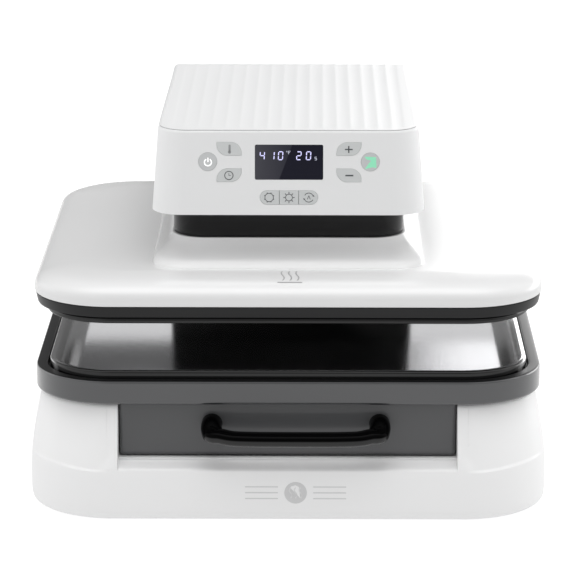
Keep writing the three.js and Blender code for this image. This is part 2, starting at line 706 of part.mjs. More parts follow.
const matPlate = () =>
  solid(loft([matRing(TRAY.bottom + TRAY.floor + GAP, 0.4), matRing(MAT.bottom - GAP, 0.4)]));

const pressMat = () =>
  solid(loft([
    matRing(MAT.bottom, 0), matRing(MAT.top - 2, 0), matRing(MAT.top - 0.6, 0.8), matRing(MAT.top, 2.4),
  ]));

// The two post centres of the handle.
const postX = (side) => HANDLE.x + side * HANDLE.half;

function drawerFront() {
  const { halfX, y, thickness, bottom, top } = DRAWER_FRONT;
  const plate = new THREE.Shape(roundedRect(-halfX, halfX, bottom, top, 3, 1, 3));
  const geometry = new THREE.ExtrudeGeometry(plate, { depth: thickness, bevelEnabled: false });
  geometry.rotateX(Math.PI / 2).translate(0, y + thickness, 0);
  const holes = [-1, 1].map((side) => pegY(postX(side), HANDLE.postZ, y - 5, y + 10, 2.8, 16));
  return cut(solid(geometry), ...holes);
}

// The carriage: a folded sheet box with an open top, closed by the tray above it.
function drawerCarriage() {
  const { halfX, back, bottom, wall } = CARRIAGE;
  const front = DRAWER_FRONT.y + DRAWER_FRONT.thickness + GAP;
  const outside = block(-halfX, halfX, front, back, bottom, DRAWER_FRONT.top);
  const inside = block(
    -halfX + wall, halfX - wall, front + wall, back - wall, bottom + wall, DRAWER_FRONT.top + 5,
  );
  const slots = [-80, 0, 80].map((x) => block(x - 25, x + 25, -60, 60, bottom - 2, bottom + wall + 2));
  const screwRoom = [-1, 1].map((side) =>
    pegY(postX(side), HANDLE.postZ, front - 2, front + wall + 2, 6, 16));
  return cut(solid(outside), inside, ...slots, ...screwRoom);
}

// A drawer rail between two distances from the middle, with a ball groove along the face at grooveX.
function rail(side, innerX, outerX, grooveX, back) {
  const strip = (x0, x1, y0, y1, z0, z1) =>
    block(Math.min(side * x0, side * x1), Math.max(side * x0, side * x1), y0, y1, z0, z1);
  const body = strip(innerX, outerX, RAIL.front, back, RAIL.bottom, RAIL.top);
  const groove = strip(
    grooveX - 1.4, grooveX + 1.4, RAIL.front - 1, back + 1, RAIL.bottom + 5, RAIL.top - 5,
  );
  return cut(solid(body), groove);
}

// The bow handle: two posts that swing forward and down into one flattened bar.
function drawerHandle() {
  const { half, postZ, barZ, reach, halfHeight, halfDepth } = HANDLE;
  const rootY = DRAWER_FRONT.y - GAP;
  const quarter = [
    [half, 0, postZ], [half, 8, postZ], [half - 1, 18, postZ - 2], [half - 10, reach - 3, barZ + 1.5],
    [half - 28, reach, barZ],
  ];
  const bend = (side) => quarter.map(([x, out, z]) => [HANDLE.x + side * x, rootY - out, z]);
  const path = new THREE.CatmullRomCurve3(
    [...bend(-1), [HANDLE.x, rootY - reach, barZ], ...bend(1).reverse()]
      .map(([x, y, z]) => new THREE.Vector3(x, y, z)),
    false, "centripetal",
  );
  const section = new THREE.Shape(
    Array.from({ length: 12 }, (_, i) => {
      const angle = (i / 12) * Math.PI * 2;
      return new THREE.Vector2(halfHeight * Math.cos(angle), halfDepth * Math.sin(angle));
    }),
  );
  const bow = new THREE.ExtrudeGeometry(section, { steps: 30, extrudePath: path, bevelEnabled: false });
  const holes = [-1, 1].map((side) => pegY(postX(side), postZ, rootY - 9, rootY + 2, 2.6, 16));
  return cut(solid(bow), ...holes);
}

// A handle screw: pan head behind the drawer front and a shank into the post.
function handleScrew(side) {
  const x = postX(side);
  const inner = DRAWER_FRONT.y + DRAWER_FRONT.thickness + GAP;
  const head = pegY(x, HANDLE.postZ, inner, inner + 3, 4.6, 16);
  const shank = pegY(x, HANDLE.postZ, DRAWER_FRONT.y - 8, inner + 1, 2.2, 16);
  const slot = block(x - 0.6, x + 0.6, inner + 1.6, inner + 4, HANDLE.postZ - 3.4, HANDLE.postZ + 3.4);
  return cut(join(head, shank), slot);
}

// ---------------------------------------------------------------------------------------------------
// Assembly.

function part(name, shape, look) {
  const geometry = shape.isBufferGeometry ? shape : surface(shape);
  const mesh = new THREE.Mesh(geometry, new THREE.MeshStandardMaterial(look));
  mesh.name = name;
  return mesh;
}

function assembled(...meshes) {
  const group = new THREE.Group();
  group.add(...meshes);
  return group;
}

function base() {
  const feet = [["front", FOOT.front], ["back", FOOT.back]].flatMap(([row, y]) =>
    [["left", -FOOT.x], ["right", FOOT.x]].map(([side, x]) =>
      part(`foot_${row}_${side}`, foot(x, y), RUBBER)));
  return assembled(
    part("base_shell", baseShell(), WHITE_GLOSS),
    part("base_plate", basePlate(), STEEL),
    ...feet,
    part("outer_rail_left", rail(-1, 141.2, 143.7, 141.2, 168), STEEL),
    part("outer_rail_right", rail(1, 141.2, 143.7, 141.2, 168), STEEL),
    part("power_inlet", powerInlet(), BLACK_SATIN),
    part("rocker_bezel", rockerBezel(), BLACK_SATIN),
    part("power_rocker", rocker(), BLACK_GLOSS),
  );
}

function head() {
  const bushes = rodPlaces().map(([x, y], i) => part(`guide_bush_${i + 1}`, guideBush(x, y), BRASS));
  return assembled(
    part("press_frame", pressFrame(), STEEL),
    part("head_cover", headCover(), WHITE_GLOSS),
    part("head_underside", headUnderside(), WHITE_SATIN),
    part("rear_panel", rearPanel(), WHITE_SATIN),
    part("display_lens", displayLens(), GLASS_NAVY),
    part("display_module", displayModule(), BLACK_SATIN),
    part("control_board", controlBoard(), BOARD_GREEN),
    part("thrust_bearing", thrustBearing(), STEEL),
    part("gearmotor", gearmotor(), STEEL),
    ...bushes,
    ...Object.keys(KEYS).map((name) => part(name, key(name), KEY_GREY)),
  );
}

function drive() {
  const wheel = part("screw_gear", screwGear(), BRASS);
  wheel.position.set(0, PRESS_Y, 0);
  const pinion = part("motor_pinion", motorPinion(), STEEL);
  pinion.position.set(-GEAR_DISTANCE, PRESS_Y, 0);
  return assembled(part("lead_screw", leadScrew(), STEEL), wheel, pinion);
}

function platen() {
  const rods = rodPlaces().map(([x, y], i) => part(`guide_rod_${i + 1}`, guideRod(x, y), STEEL));
  return assembled(
    part("platen_cover", platenCover(), WHITE_GLOSS),
    part("platen_trim", platenTrim(), BLACK_SATIN),
    part("heater_frame", heaterFrame(), BLACK_SATIN),
    part("heater_plate", heaterPlate(), ALUMINIUM),
    part("insulation", insulation(), WOOL),
    part("pressure_plate", pressurePlate(), STEEL),
    part("nut_tower", nutTower(), STEEL),
    part("screw_nut", screwNut(), BRASS),
    part("neck_sleeve", neckSleeve(), BLACK_GLOSS),
    ...rods,
  );
}

function drawer() {
  return assembled(
    part("drawer_tray", drawerTray(), GREY_SATIN),
    part("mat_plate", matPlate(), ALUMINIUM),
    part("press_mat", pressMat(), RUBBER),
    part("drawer_front", drawerFront(), GREY_SATIN),
    part("drawer_carriage", drawerCarriage(), GREY_SATIN),
    part("inner_rail_left", rail(-1, 137.1, 140.9, 140.9, CARRIAGE.back), STEEL),
    part("inner_rail_right", rail(1, 137.1, 140.9, 140.9, CARRIAGE.back), STEEL),
    part("drawer_handle", drawerHandle(), BLACK_GLOSS),
    part("handle_screw_left", handleScrew(-1), STEEL),
    part("handle_screw_right", handleScrew(1), STEEL),
  );
}

const press = assembled(base(), head(), drive(), platen(), drawer());
press.position.y = FOOTPRINT_SHIFT_Y;
const heatPress = new THREE.Group();
heatPress.add(press);

export default heatPress;
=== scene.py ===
"""Looks of a benchtop automatic heat press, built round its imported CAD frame."""

from math import atan2, copysign, cos, pi, radians, sin

import bmesh
import bpy
import numpy as np
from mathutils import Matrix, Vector
from mathutils.geometry import delaunay_2d_cdt


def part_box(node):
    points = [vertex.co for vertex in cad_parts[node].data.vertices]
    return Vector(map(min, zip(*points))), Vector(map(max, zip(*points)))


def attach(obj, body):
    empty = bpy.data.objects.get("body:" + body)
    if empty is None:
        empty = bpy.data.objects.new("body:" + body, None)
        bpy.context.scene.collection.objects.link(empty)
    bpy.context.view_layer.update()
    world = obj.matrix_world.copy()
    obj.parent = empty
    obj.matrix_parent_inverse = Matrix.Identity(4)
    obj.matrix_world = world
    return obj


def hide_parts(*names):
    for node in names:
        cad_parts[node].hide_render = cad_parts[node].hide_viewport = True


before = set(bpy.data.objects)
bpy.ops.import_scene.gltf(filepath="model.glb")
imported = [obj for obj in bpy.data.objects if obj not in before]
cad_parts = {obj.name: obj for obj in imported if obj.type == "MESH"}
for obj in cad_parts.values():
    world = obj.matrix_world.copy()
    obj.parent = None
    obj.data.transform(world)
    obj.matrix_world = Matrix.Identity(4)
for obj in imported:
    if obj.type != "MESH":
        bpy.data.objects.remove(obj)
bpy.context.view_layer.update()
MM = 0.001


def box(node):
    """Lowest and highest corner of a CAD node, in millimetres."""
    lo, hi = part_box(node)
    return [c / MM for c in lo], [c / MM for c in hi]


# ------------------------------------------------------------------------------------------
# Places and sizes from the CAD nodes, and the shapes' own dimensions (mm).
SHELL_LO, SHELL_HI = box("platen_cover")
SLEEVE_LO, SLEEVE_HI = box("neck_sleeve")
HEAD_LO, HEAD_HI = box("head_cover")
UNDER_LO = box("head_underside")[0]
BASE_LO, BASE_HI = box("base_shell")
LENS_LO, LENS_HI = box("display_lens")

HEAD_BOTTOM, HEAD_TOP = UNDER_LO[2], HEAD_HI[2]
HEAD_FRONT, HEAD_BACK = HEAD_LO[1], HEAD_HI[1]
HEAD_CORNER = 27.0  # radius of the head's front corners, seen from above
ROOF_BEND = 95.0  # radius of the roof's turn down into the column
COLUMN_FRONT = HEAD_BACK - 54.0
CREASE_BACK = 5.0  # how far the top of the control panel leans back
LEAN = atan2(CREASE_BACK, HEAD_TOP - HEAD_BOTTOM)
PANEL_X = (LENS_LO[0] + LENS_HI[0]) / 2

# Rise of the platen cover above its lower edge, and how far in from the edge that is reached.
EDGE_ROLL = [(0, 0), (5.6, 0), (9.0, 0.8), (11.6, 2.4), (14.0, 5.4), (16.0, 10), (17.5, 16), (18.6, 24),
             (19.5, 35), (20.1, 46)]
COVER_RISES = (0, 0.25, 0.7, 2.5, 5, 6.5, 7.8, 9, 10.2, 11.4, 12.5, 13.6, 14.6, 15.5, 16.3, 17.0, 17.6, 18.2,
               18.7, 19.2, 19.6, 20.0)
PLINTH = {"half": 117, "front": -168.6, "back": 128, "radius": 25, "rise": 0.15}
# Share of the way in from the plinth's foot to the sleeve, and of the way up: hollow towards the sleeve.
PLINTH_CURVE = ((0.015, 0.06), (0.05, 0.15), (0.10, 0.235), (0.17, 0.31), (0.26, 0.365), (0.36, 0.405),
                (0.5, 0.465), (0.64, 0.54), (0.78, 0.645), (0.88, 0.76), (0.95, 0.88), (1.0, 1.0))
NOTCH = {"half": 122, "front": SHELL_HI[1] - 25, "radius": 9}
COVER_WALL, TRIM_WALL, BASE_WALL, LINING_WALL = 2.4, 1.6, 2.6, 1.5
KEY_GAP = 0.1  # round each key and the display

# Control panel, in the plane of its leaning face: u right, v up, w outwards.
MODE = {"width": 49.5, "height": 12.2, "v": 15.2, "slit": 0.3, "u": 16.9}
ROUND = {"u": 69.2, "v": 45.9, "r": 8.0}
LEAF = {"u": 51.0, "upper": 57.0, "lower": 34.3}
DISPLAY = {"w": 58.0, "h": 30.0, "v": 45.5}
KEY_PROUD = 0.25
DIGIT = {"h": 7.6, "w": 4.4, "stroke": 0.8, "gap": 0.18, "slant": 0.06, "v": 47.3}
SEGMENTS = {"0": "abcdef", "1": "bc", "2": "abged", "4": "fgbc"}

FLUTES = {"count": 17, "pitch": 11.85, "depth": 0.22}
BAY = {"x": 144.1, "z": 56.0, "back": 163.0}
BASE_RADIUS = 70.0
BASE_WIDEST = 223.5
# Half width of the base by height.
BASE_SIDE = [(4, 219.4), (6, 221.4), (9, 222.8), (14, 223.4), (28, BASE_WIDEST), (44, 223.0), (56, 221.9),
             (72, 219.6), (86, 217.1), (98, 214.8), (102.5, 213.9)]
BASE_LEVELS = [4, 4.4, 5.2, 6.4, 8, 11, 16, 19.5, 24, 34, 40.5, 42, 44, 45, 46, 46.7, 47.4, 48.1, 48.8, 49.5,
               50.2, 51, 52, 53, 54, 55, 56, 57, 58, 59.5, 61, 62.5, 64, 66, 68, 71, 75, 80, 86, 92, 96, 98.4]
DECK_EDGE = [(100.0, 0.5), (101.2, 1.4), (102.0, 2.6), (102.5, 4.4)]  # height, inset


# ------------------------------------------------------------------------------------------
# Mesh helpers. Everything is given in mm and stored in metres.
def new_object(name, data):
    obj = bpy.data.objects.new(name, data)
    bpy.context.scene.collection.objects.link(obj)
    return obj


def raw_mesh(name, verts, faces):
    mesh = bpy.data.meshes.new(name)
    mesh.from_pydata([tuple(c * MM for c in v) for v in verts], [], faces)
    return mesh


def piece(name, verts, faces, material, body, replaces=(), slot=None, weld=True):
    """A smooth-shaded piece that rides on a body."""
    mesh = raw_mesh(name, verts, faces)
    bm = bmesh.new()
    bm.from_mesh(mesh)
    if weld:
        bmesh.ops.remove_doubles(bm, verts=bm.verts, dist=2e-6)
    bmesh.ops.recalc_face_normals(bm, faces=bm.faces)
    for face in bm.faces:
        face.smooth = True
    bm.to_mesh(mesh)
    bm.free()
    mesh.materials.append(material)
    obj = new_object(name, mesh)
    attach(obj, body)
    if replaces:
        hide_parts(*replaces)
    return obj


def sharpen(obj, degrees=32):
    obj.data.set_sharp_from_angle(angle=radians(degrees))
    return obj


def weigh(obj):
    """Lets the flat faces lead the shading."""
    mod = obj.modifiers.new("shading", "WEIGHTED_NORMAL")
    mod.mode = "FACE_AREA"
    mod.weight = 50
    mod.keep_sharp = True
    return obj


def bevel(obj):
    mod = obj.modifiers.new("edge", "BEVEL")
    mod.width = 0.35 * MM
    mod.segments = 2
    mod.limit_method = "ANGLE"
    mod.angle_limit = radians(40)
    mod.harden_normals = True
    mod.miter_outer = "MITER_ARC"


def baked(obj):
    """Replaces an object's mesh by the one its modifiers make."""
    bpy.context.view_layer.update()
    made = bpy.data.meshes.new_from_object(obj.evaluated_get(bpy.context.evaluated_depsgraph_get()))
    obj.modifiers.clear()
    obj.data = made
    return made


def solidify(obj, thickness, offset=-1.0):
    """Gives an open skin a wall and keeps its rims crisp."""
    mod = obj.modifiers.new("wall", "SOLIDIFY")
    mod.thickness = thickness * MM
    mod.offset = offset
    baked(obj)
    weigh(sharpen(obj))


def smoothstep(a, b, x):
    t = min(max((x - a) / (b - a), 0.0), 1.0)
    return t * t * (3 - 2 * t)


def polar(cx, cy, radius, angle):
    return cx + radius * cos(angle), cy + radius * sin(angle)


def rounded(x0, x1, y0, y1, front_radius, back_radius=None, n=16):
    """Outline of a rectangle with rounded corners, anticlockwise from the back right corner."""
    f, b = front_radius, front_radius if back_radius is None else back_radius
    corners = ((x1 - b, y1 - b, b), (x0 + b, y1 - b, b), (x0 + f, y0 + f, f), (x1 - f, y0 + f, f))
    return [polar(cx, cy, radius, (quarter + i / n) * pi / 2)
            for quarter, (cx, cy, radius) in enumerate(corners) for i in range(n + 1)]


def inset_outline(half, front, back, inset, radius, back_radius=None, n=16):
    return rounded(-half + inset, half - inset, front + inset, back - inset, radius, back_radius, n)


def circle(u, v, radius, n=48):
    return [polar(u, v, radius, i / n * 2 * pi) for i in range(n)]


def bar(u, v, half_u, half_v):
    return [(u + a * half_u, v + b * half_v) for a, b in ((-1, -1), (1, -1), (1, 1), (-1, 1))]


def tube(rings, n, start=0):
    """Faces between closed rings of n vertices each."""
    return [(start + k * n + i, start + k * n + (i + 1) % n, start + (k + 1) * n + (i + 1) % n,
             start + (k + 1) * n + i) for k in range(rings - 1) for i in range(n)]


def ends(rings, n):
    """The faces that close the first and the last ring."""
    return [tuple(range(n)), tuple((rings - 1) * n + i for i in range(n))]


def loft(rings, bottom=True, top=True):
    """Vertices and faces through a stack of (outline, z) rings of equal length."""
    n = len(rings[0][0])
    verts = [(x, y, z) for outline, z in rings for x, y in outline]
    faces = tube(len(rings), n)
    first, last = ends(len(rings), n)
    if bottom:
        faces.append(first[::-1])
    if top:
        faces.append(last)
    return verts, faces


def curve_fit(points, samples):
    """Monotone cubic through (x, y) points, sampled at the given x values."""
    xs = np.array([p[0] for p in points], float)
    ys = np.array([p[1] for p in points], float)
    h = np.diff(xs)
    d = np.diff(ys) / h
    m = np.zeros(len(xs))
    m[0], m[-1] = d[0], d[-1]
    for i in range(1, len(xs) - 1):
        if d[i - 1] * d[i] > 0:
            w1, w2 = 2 * h[i] + h[i - 1], h[i] + 2 * h[i - 1]
            m[i] = (w1 + w2) / (w1 / d[i - 1] + w2 / d[i])
    out = []
    for x in samples:
        i = int(min(max(np.searchsorted(xs, x) - 1, 0), len(h) - 1))
        t = (x - xs[i]) / h[i]
        out.append(ys[i] * (1 + 2 * t) * (1 - t) ** 2 + h[i] * m[i] * t * (1 - t) ** 2
                   + ys[i + 1] * t * t * (3 - 2 * t) + h[i] * m[i + 1] * t * t * (t - 1))
    return out


def quad_grid(rows, columns, start):
    """Quads between equal rows of vertices that start at `start`."""
    return [(a, a + 1, a + columns + 1, a + columns) for k in range(rows - 1)
            for a in range(start + k * columns, start + (k + 1) * columns - 1)]


def triangulated(points, edges, keep):
    """Constrained triangulation in the plane: its points, and the faces whose centre passes `keep`."""
    result = delaunay_2d_cdt([Vector(p) for p in points], edges, [], 0, 1e-6)
    points, faces = result[0], result[2]
    centres = [[sum(points[i][axis] for i in face) / len(face) for axis in (0, 1)] for face in faces]
    return points, [face for face, centre in zip(faces, centres) if keep(centre)]


def loop_edges(count, start=0):
    return [(start + i, start + (i + 1) % count) for i in range(count)]


def inside(point, polygon):
    x, y = point
    hit = False
    for (x0, y0), (x1, y1) in zip(polygon[-1:] + polygon[:-1], polygon):
        if (y0 > y) != (y1 > y) and x < (x1 - x0) * (y - y0) / (y1 - y0) + x0:
            hit = not hit
    return hit


# ------------------------------------------------------------------------------------------
# Materials.
def feed(tree, node, inputs):
    """Sets a node's inputs, or links them where the value is another node's output."""
    for name, value in inputs.items():
        if isinstance(value, bpy.types.NodeSocket):
            tree.links.new(value, node.inputs[name])
        else:
            node.inputs[name].default_value = value


def add_node(tree, kind, output, inputs=None, **settings):
    """Adds a shader node and returns one of its outputs."""
    node = tree.nodes.new("ShaderNode" + kind)
    for name, value in settings.items():
        setattr(node, name, value)
    feed(tree, node, inputs or {})
    return node.outputs[output]


def node_material(name):
    material = bpy.data.materials.new(name)
    material.use_nodes = True
    return material, material.node_tree, material.node_tree.nodes["Principled BSDF"]


def noise(tree, scale, detail=2.0, vector=None):
    inputs = {"Scale": scale, "Detail": detail}
    if vector is not None:
        inputs["Vector"] = vector
    return add_node(tree, "TexNoise", "Fac", inputs)


def object_coords(tree):
    return add_node(tree, "TexCoord", "Object")


def spread(tree, value, low, high):
    return add_node(tree, "MapRange", "Result", {"Value": value, "To Min": low, "To Max": high})


def ramp_between(tree, value, start, full, low=0.0, high=1.0):
    """Eased change from `low` where the value is `start` to `high` where it is `full`."""
    if start > full:
        start, full, low, high = full, start, high, low
    return add_node(tree, "MapRange", "Result",
                    {"Value": value, "From Min": start, "From Max": full, "To Min": low, "To Max": high},
                    interpolation_type="SMOOTHSTEP")


def mix(tree, factor, a, b):
    return add_node(tree, "Mix", "Result", {"Factor": factor, "A": a, "B": b}, data_type="RGBA")


def bump(tree, height, strength):
    return add_node(tree, "Bump", "Normal", {"Height": height, "Strength": strength, "Distance": 0.0002})


def arithmetic(tree, operation, *values):
    node = tree.nodes.new("ShaderNodeMath")
    node.operation = operation
    feed(tree, node, dict(enumerate(values)))
    return node.outputs["Value"]


def plastic(name, colour, roughness, coat=0.0, tone=0.02, grain=0.03, grain_scale=900.0, specular=0.5,
            rough_vary=0.03):
    """Moulded plastic or paint: slow tone change and fine grain in bump and roughness."""
    material, tree, bsdf = node_material(name)
    coords = object_coords(tree)
    slow = noise(tree, 6.0, 1.0, coords)
    ramp = add_node(tree, "ValToRGB", "Color", {"Fac": slow})
    stops = ramp.node.color_ramp
    stops.interpolation = "EASE"
    stops.elements[0].color = (*[max(c - tone, 0.0) for c in colour], 1)
    stops.elements[1].color = (*[min(c + tone, 1.0) for c in colour], 1)
    feed(tree, bsdf, {
        "Base Color": ramp,
        "Roughness": spread(tree, slow, max(roughness - rough_vary, 0.02), roughness + rough_vary),
        "Normal": bump(tree, noise(tree, grain_scale, 4.0, coords), grain),
        "Specular IOR Level": specular,
    })
    if coat:
        feed(tree, bsdf, {"Coat Weight": coat, "Coat Roughness": 0.06})
    return material


def brushed(name, colour, roughness, direction=(1, 60, 60), strength=0.15, vary=0.1):
    """Metal with fine drawn lines along one axis."""
    material, tree, bsdf = node_material(name)
    mapped = add_node(tree, "Mapping", "Vector", {"Vector": object_coords(tree), "Scale": direction})
    lines = noise(tree, 40.0, 5.0, mapped)
    dark, light = ([min(c * share, 1) for c in colour] for share in (0.82, 1.1))
    feed(tree, bsdf, {
        "Base Color": mix(tree, lines, (*dark, 1), (*light, 1)),
        "Roughness": spread(tree, lines, max(roughness - vary, 0.04), roughness + vary),
        "Normal": bump(tree, lines, strength),
        "Metallic": 1.0,
    })
    return material


def add_sheen(material, start, full, most):
    """Makes a dark glossy surface mirror its surroundings when it is seen at a low angle."""
    tree = material.node_tree
    bsdf = tree.nodes["Principled BSDF"]
    facing = add_node(tree, "LayerWeight", "Facing", {"Blend": 0.5})
    low = ramp_between(tree, facing, start, full)
    colour = bsdf.inputs["Base Color"].links[0].from_socket
    feed(tree, bsdf, {"Base Color": mix(tree, low, colour, (most, most, most * 1.01, 1)), "Metallic": low})


def shade_top(material, low, high, start, full):
    """Specular level of a glossy bar: `low` on its upper faces, `high` on its lower ones, as painted shade on
    its top.
    """
    tree = material.node_tree
    up = split(tree, add_node(tree, "NewGeometry", "Normal"), "Z")
    level = ramp_between(tree, up, full, start, high, low)
    feed(tree, tree.nodes["Principled BSDF"], {"Specular IOR Level": level})


def split(tree, vector, axis):
    return add_node(tree, "SeparateXYZ", axis, {"Vector": vector})


def glow(name, colour, strength):
    """A lit display element, with faint unevenness."""
    material, tree, bsdf = node_material(name)
    colour = (*colour, 1)
    uneven = spread(tree, noise(tree, 300.0, vector=object_coords(tree)), strength * 0.9, strength * 1.1)
    feed(tree, bsdf, {"Base Color": colour, "Emission Color": colour, "Emission Strength": uneven})
    return material


def display_glass():
    """Dark glass with a paler slanted reflection painted across its left part."""
    material, tree, bsdf = node_material("display_glass")
    slant, shift, soft = 0.38, 2.0, 0.0006
    coords = object_coords(tree)
    across, up = split(tree, coords, "X"), split(tree, coords, "Z")
    # Distance to the right of a slanted line, which leans right as it goes up.
    middle = (slant * (LENS_LO[2] + LENS_HI[2]) / 2 + shift) * MM
    line = arithmetic(tree, "ADD", across, arithmetic(tree, "MULTIPLY_ADD", up, -slant, middle))
    edge = ramp_between(tree, line, -soft, soft)
    left, right = LENS_LO[0] * MM, 0.004
    fade = add_node(tree, "MapRange", "Result", {"Value": across, "From Min": left, "From Max": right})
    # Painted reflection: paler at the glass's left end, fading towards the right.
    sheen = mix(tree, fade, (0.06, 0.06, 0.072, 1), (0.022, 0.022, 0.034, 1))
    feed(tree, bsdf, {"Base Color": mix(tree, edge, sheen, (0.006, 0.006, 0.015, 1)), "Roughness": 0.12,
                      "Specular IOR Level": 0.15})
    return material


# The white mouldings differ in gloss; their different base tones are painted light and shade on one plastic:
# the platen cover darker and the base lighter than the head.
WHITE = plastic("white_gloss_moulding", (0.765, 0.765, 0.767), 0.25, coat=0.2, tone=0.003, grain=0.01)
BASE_WHITE = plastic("white_base_moulding", (0.86, 0.86, 0.862), 0.33, coat=0.1, tone=0.003, grain=0.01)
WHITE_SATIN = plastic("white_satin_moulding", (0.85, 0.85, 0.85), 0.42, tone=0.006, grain=0.05)
HEAD_WHITE = plastic("white_head_moulding", (0.80, 0.803, 0.806), 0.36, tone=0.005, grain=0.05)
SLEEVE_BLACK = plastic("sleeve_black_gloss", (0.004, 0.004, 0.0043), 0.14, tone=0.001, grain=0.02,
                       specular=0.28)
HANDLE_BLACK = plastic("handle_black_gloss", (0.001, 0.001, 0.0011), 0.07, tone=0.0003, grain=0.004)
TRIM_BLACK = plastic("trim_black_satin", (0.006, 0.006, 0.0065), 0.36, tone=0.001, grain=0.12, specular=0.35)
LIP_BLACK = plastic("heater_frame_black", (0.003, 0.003, 0.0033), 0.16, tone=0.001)
TRAY_GREY = plastic("tray_grey_coat", (0.028, 0.029, 0.032), 0.3, coat=1.0, tone=0.005, grain=0.18,
                    grain_scale=1500.0)
RIM_BLACK = plastic("tray_rim_black", (0.006, 0.006, 0.0065), 0.3, tone=0.001, grain=0.08, specular=0.4)
DRAWER_GREY = plastic("drawer_grey_coat", (0.062, 0.063, 0.066), 0.4, coat=0.4, tone=0.006, grain=0.2,
                      grain_scale=1500.0)
MAT_BLACK = plastic("silicone_mat", (0.004, 0.004, 0.0042), 0.09, tone=0.001, grain=0.015, grain_scale=1800.0,
                    rough_vary=0.01)
SEAM_GREY = plastic("seam_grey", (0.46, 0.462, 0.465), 0.5, tone=0.01, grain=0.05)
KEY_GREY = plastic("key_grey", (0.59, 0.605, 0.605), 0.45, tone=0.01, grain=0.06)
KEY_RING = plastic("key_ring_grey", (0.55, 0.56, 0.565), 0.4, tone=0.01, grain=0.05)
ICON_DARK = plastic("icon_dark", (0.075, 0.08, 0.085), 0.5, tone=0.005)
ICON_MID = plastic("icon_mid", (0.13, 0.135, 0.14), 0.5, tone=0.005)
ICON_SOFT = plastic("icon_soft", (0.30, 0.305, 0.31), 0.5, tone=0.01)
MARK_DARK = plastic("mark_dark", (0.33, 0.33, 0.335), 0.4, tone=0.01)
MARK_GREY = plastic("mark_grey", (0.62, 0.62, 0.625), 0.4, tone=0.01)
RUBBER = plastic("rubber_feet", (0.02, 0.02, 0.02), 0.75, tone=0.005, grain=0.4)
BOARD = plastic("circuit_board", (0.02, 0.12, 0.06), 0.4, tone=0.01)
WOOL = plastic("mineral_wool", (0.66, 0.62, 0.52), 0.95, tone=0.06, grain=1.0, grain_scale=500.0)
PLATE_FACE = brushed("plate_ground_face", (0.88, 0.88, 0.89), 0.1, (8, 8, 8), strength=0.02, vary=0.02)
STEEL = brushed("steel_drawn", (0.52, 0.53, 0.55), 0.34)
STEEL_ROUND = brushed("steel_ground", (0.62, 0.63, 0.65), 0.2, (60, 60, 1))
ALUMINIUM = brushed("aluminium_cast", (0.66, 0.67, 0.69), 0.42, (8, 8, 8), strength=0.3)
BRASS = brushed("brass_turned", (0.72, 0.52, 0.22), 0.28, (60, 60, 2))
ICON_WHITE = glow("icon_white", (0.95, 0.95, 0.95), 0.35)
ICON_MINT = glow("icon_mint", (0.28, 0.76, 0.50), 0.1)
DIGIT_GLOW = glow("digit_glow", (0.58, 0.57, 0.88), 0.62)
ICON_UNITS = glow("unit_glow", (0.5, 0.52, 0.62), 0.45)
GLASS = display_glass()
TRAY_GREY.node_tree.nodes["Principled BSDF"].inputs["Coat IOR"].default_value = 1.65
# Painted shade: the handle's upper faces reflect less than its lower ones.
shade_top(HANDLE_BLACK, 0.03, 0.5, 0.16, -0.02)
add_sheen(MAT_BLACK, 0.5, 0.74, 0.62)


# ------------------------------------------------------------------------------------------
# Platen: the cover's rolled edge, low crown and plinth as one skin, the parts below it and the sleeve.
def crown_height(inset):
    """Height above the lower edge at a distance in from the front edge, up to the plinth."""
    top, last = COVER_RISES[-1], EDGE_ROLL[-1][1]
    if inset > last:
        return top + PLINTH["rise"] * min((inset - last) / 7.4, 1.0)
    rises = [i * 0.1 for i in range(202)]
    return float(np.interp(inset, curve_fit(EDGE_ROLL, rises), rises))


def platen_cover():
    half, front, back, bottom = SHELL_HI[0], SHELL_LO[1], SHELL_HI[1], SHELL_LO[2]
    undercut = {0: 0.5, 0.25: 0.12}
    rings = []
    for rise in COVER_RISES:
        inset = curve_fit(EDGE_ROLL, [rise])[0] + undercut.get(rise, 0)
        rings.append((inset_outline(half, front, back, inset, max(68 - inset * 0.72, 20)), bottom + rise))
    p = PLINTH
    foot = rounded(-p["half"], p["half"], p["front"], p["back"], p["radius"])
    edge, edge_z = rings[-1]
    for t in (0.25, 0.5, 0.75, 0.9, 0.97):
        mixed = [(a[0] * (1 - t) + b[0] * t, a[1] * (1 - t) + b[1] * t) for a, b in zip(edge, foot)]
        rings.append((mixed, edge_z + 0.6 * t - 0.5 * t * t))
    foot_z = edge_z + p["rise"]
    rings.append((foot, foot_z))
    s0, s1, gap = SLEEVE_LO, SLEEVE_HI, 1.3
    top_z = s0[2] - 0.3
    for share, rise in PLINTH_CURVE:
        side = p["half"] + (s1[0] + gap - p["half"]) * share
        y0 = p["front"] + (s0[1] - gap - p["front"]) * share
        y1 = p["back"] + (s1[1] + gap - p["back"]) * share
        z = foot_z + (top_z - foot_z) * rise
        rings.append((rounded(-side, side, y0, y1, p["radius"] + 4 * share), z))
    inner = inset_outline(s1[0], s0[1], s1[1], 4, 25)
    rings += [(inner, top_z), (inner, top_z - 6)]
    obj = piece("platen_cover_skin", *loft(rings, False, False), WHITE, "platen", ["platen_cover"],
                "white_gloss")
    cut_notch(obj)
    solidify(obj, COVER_WALL)


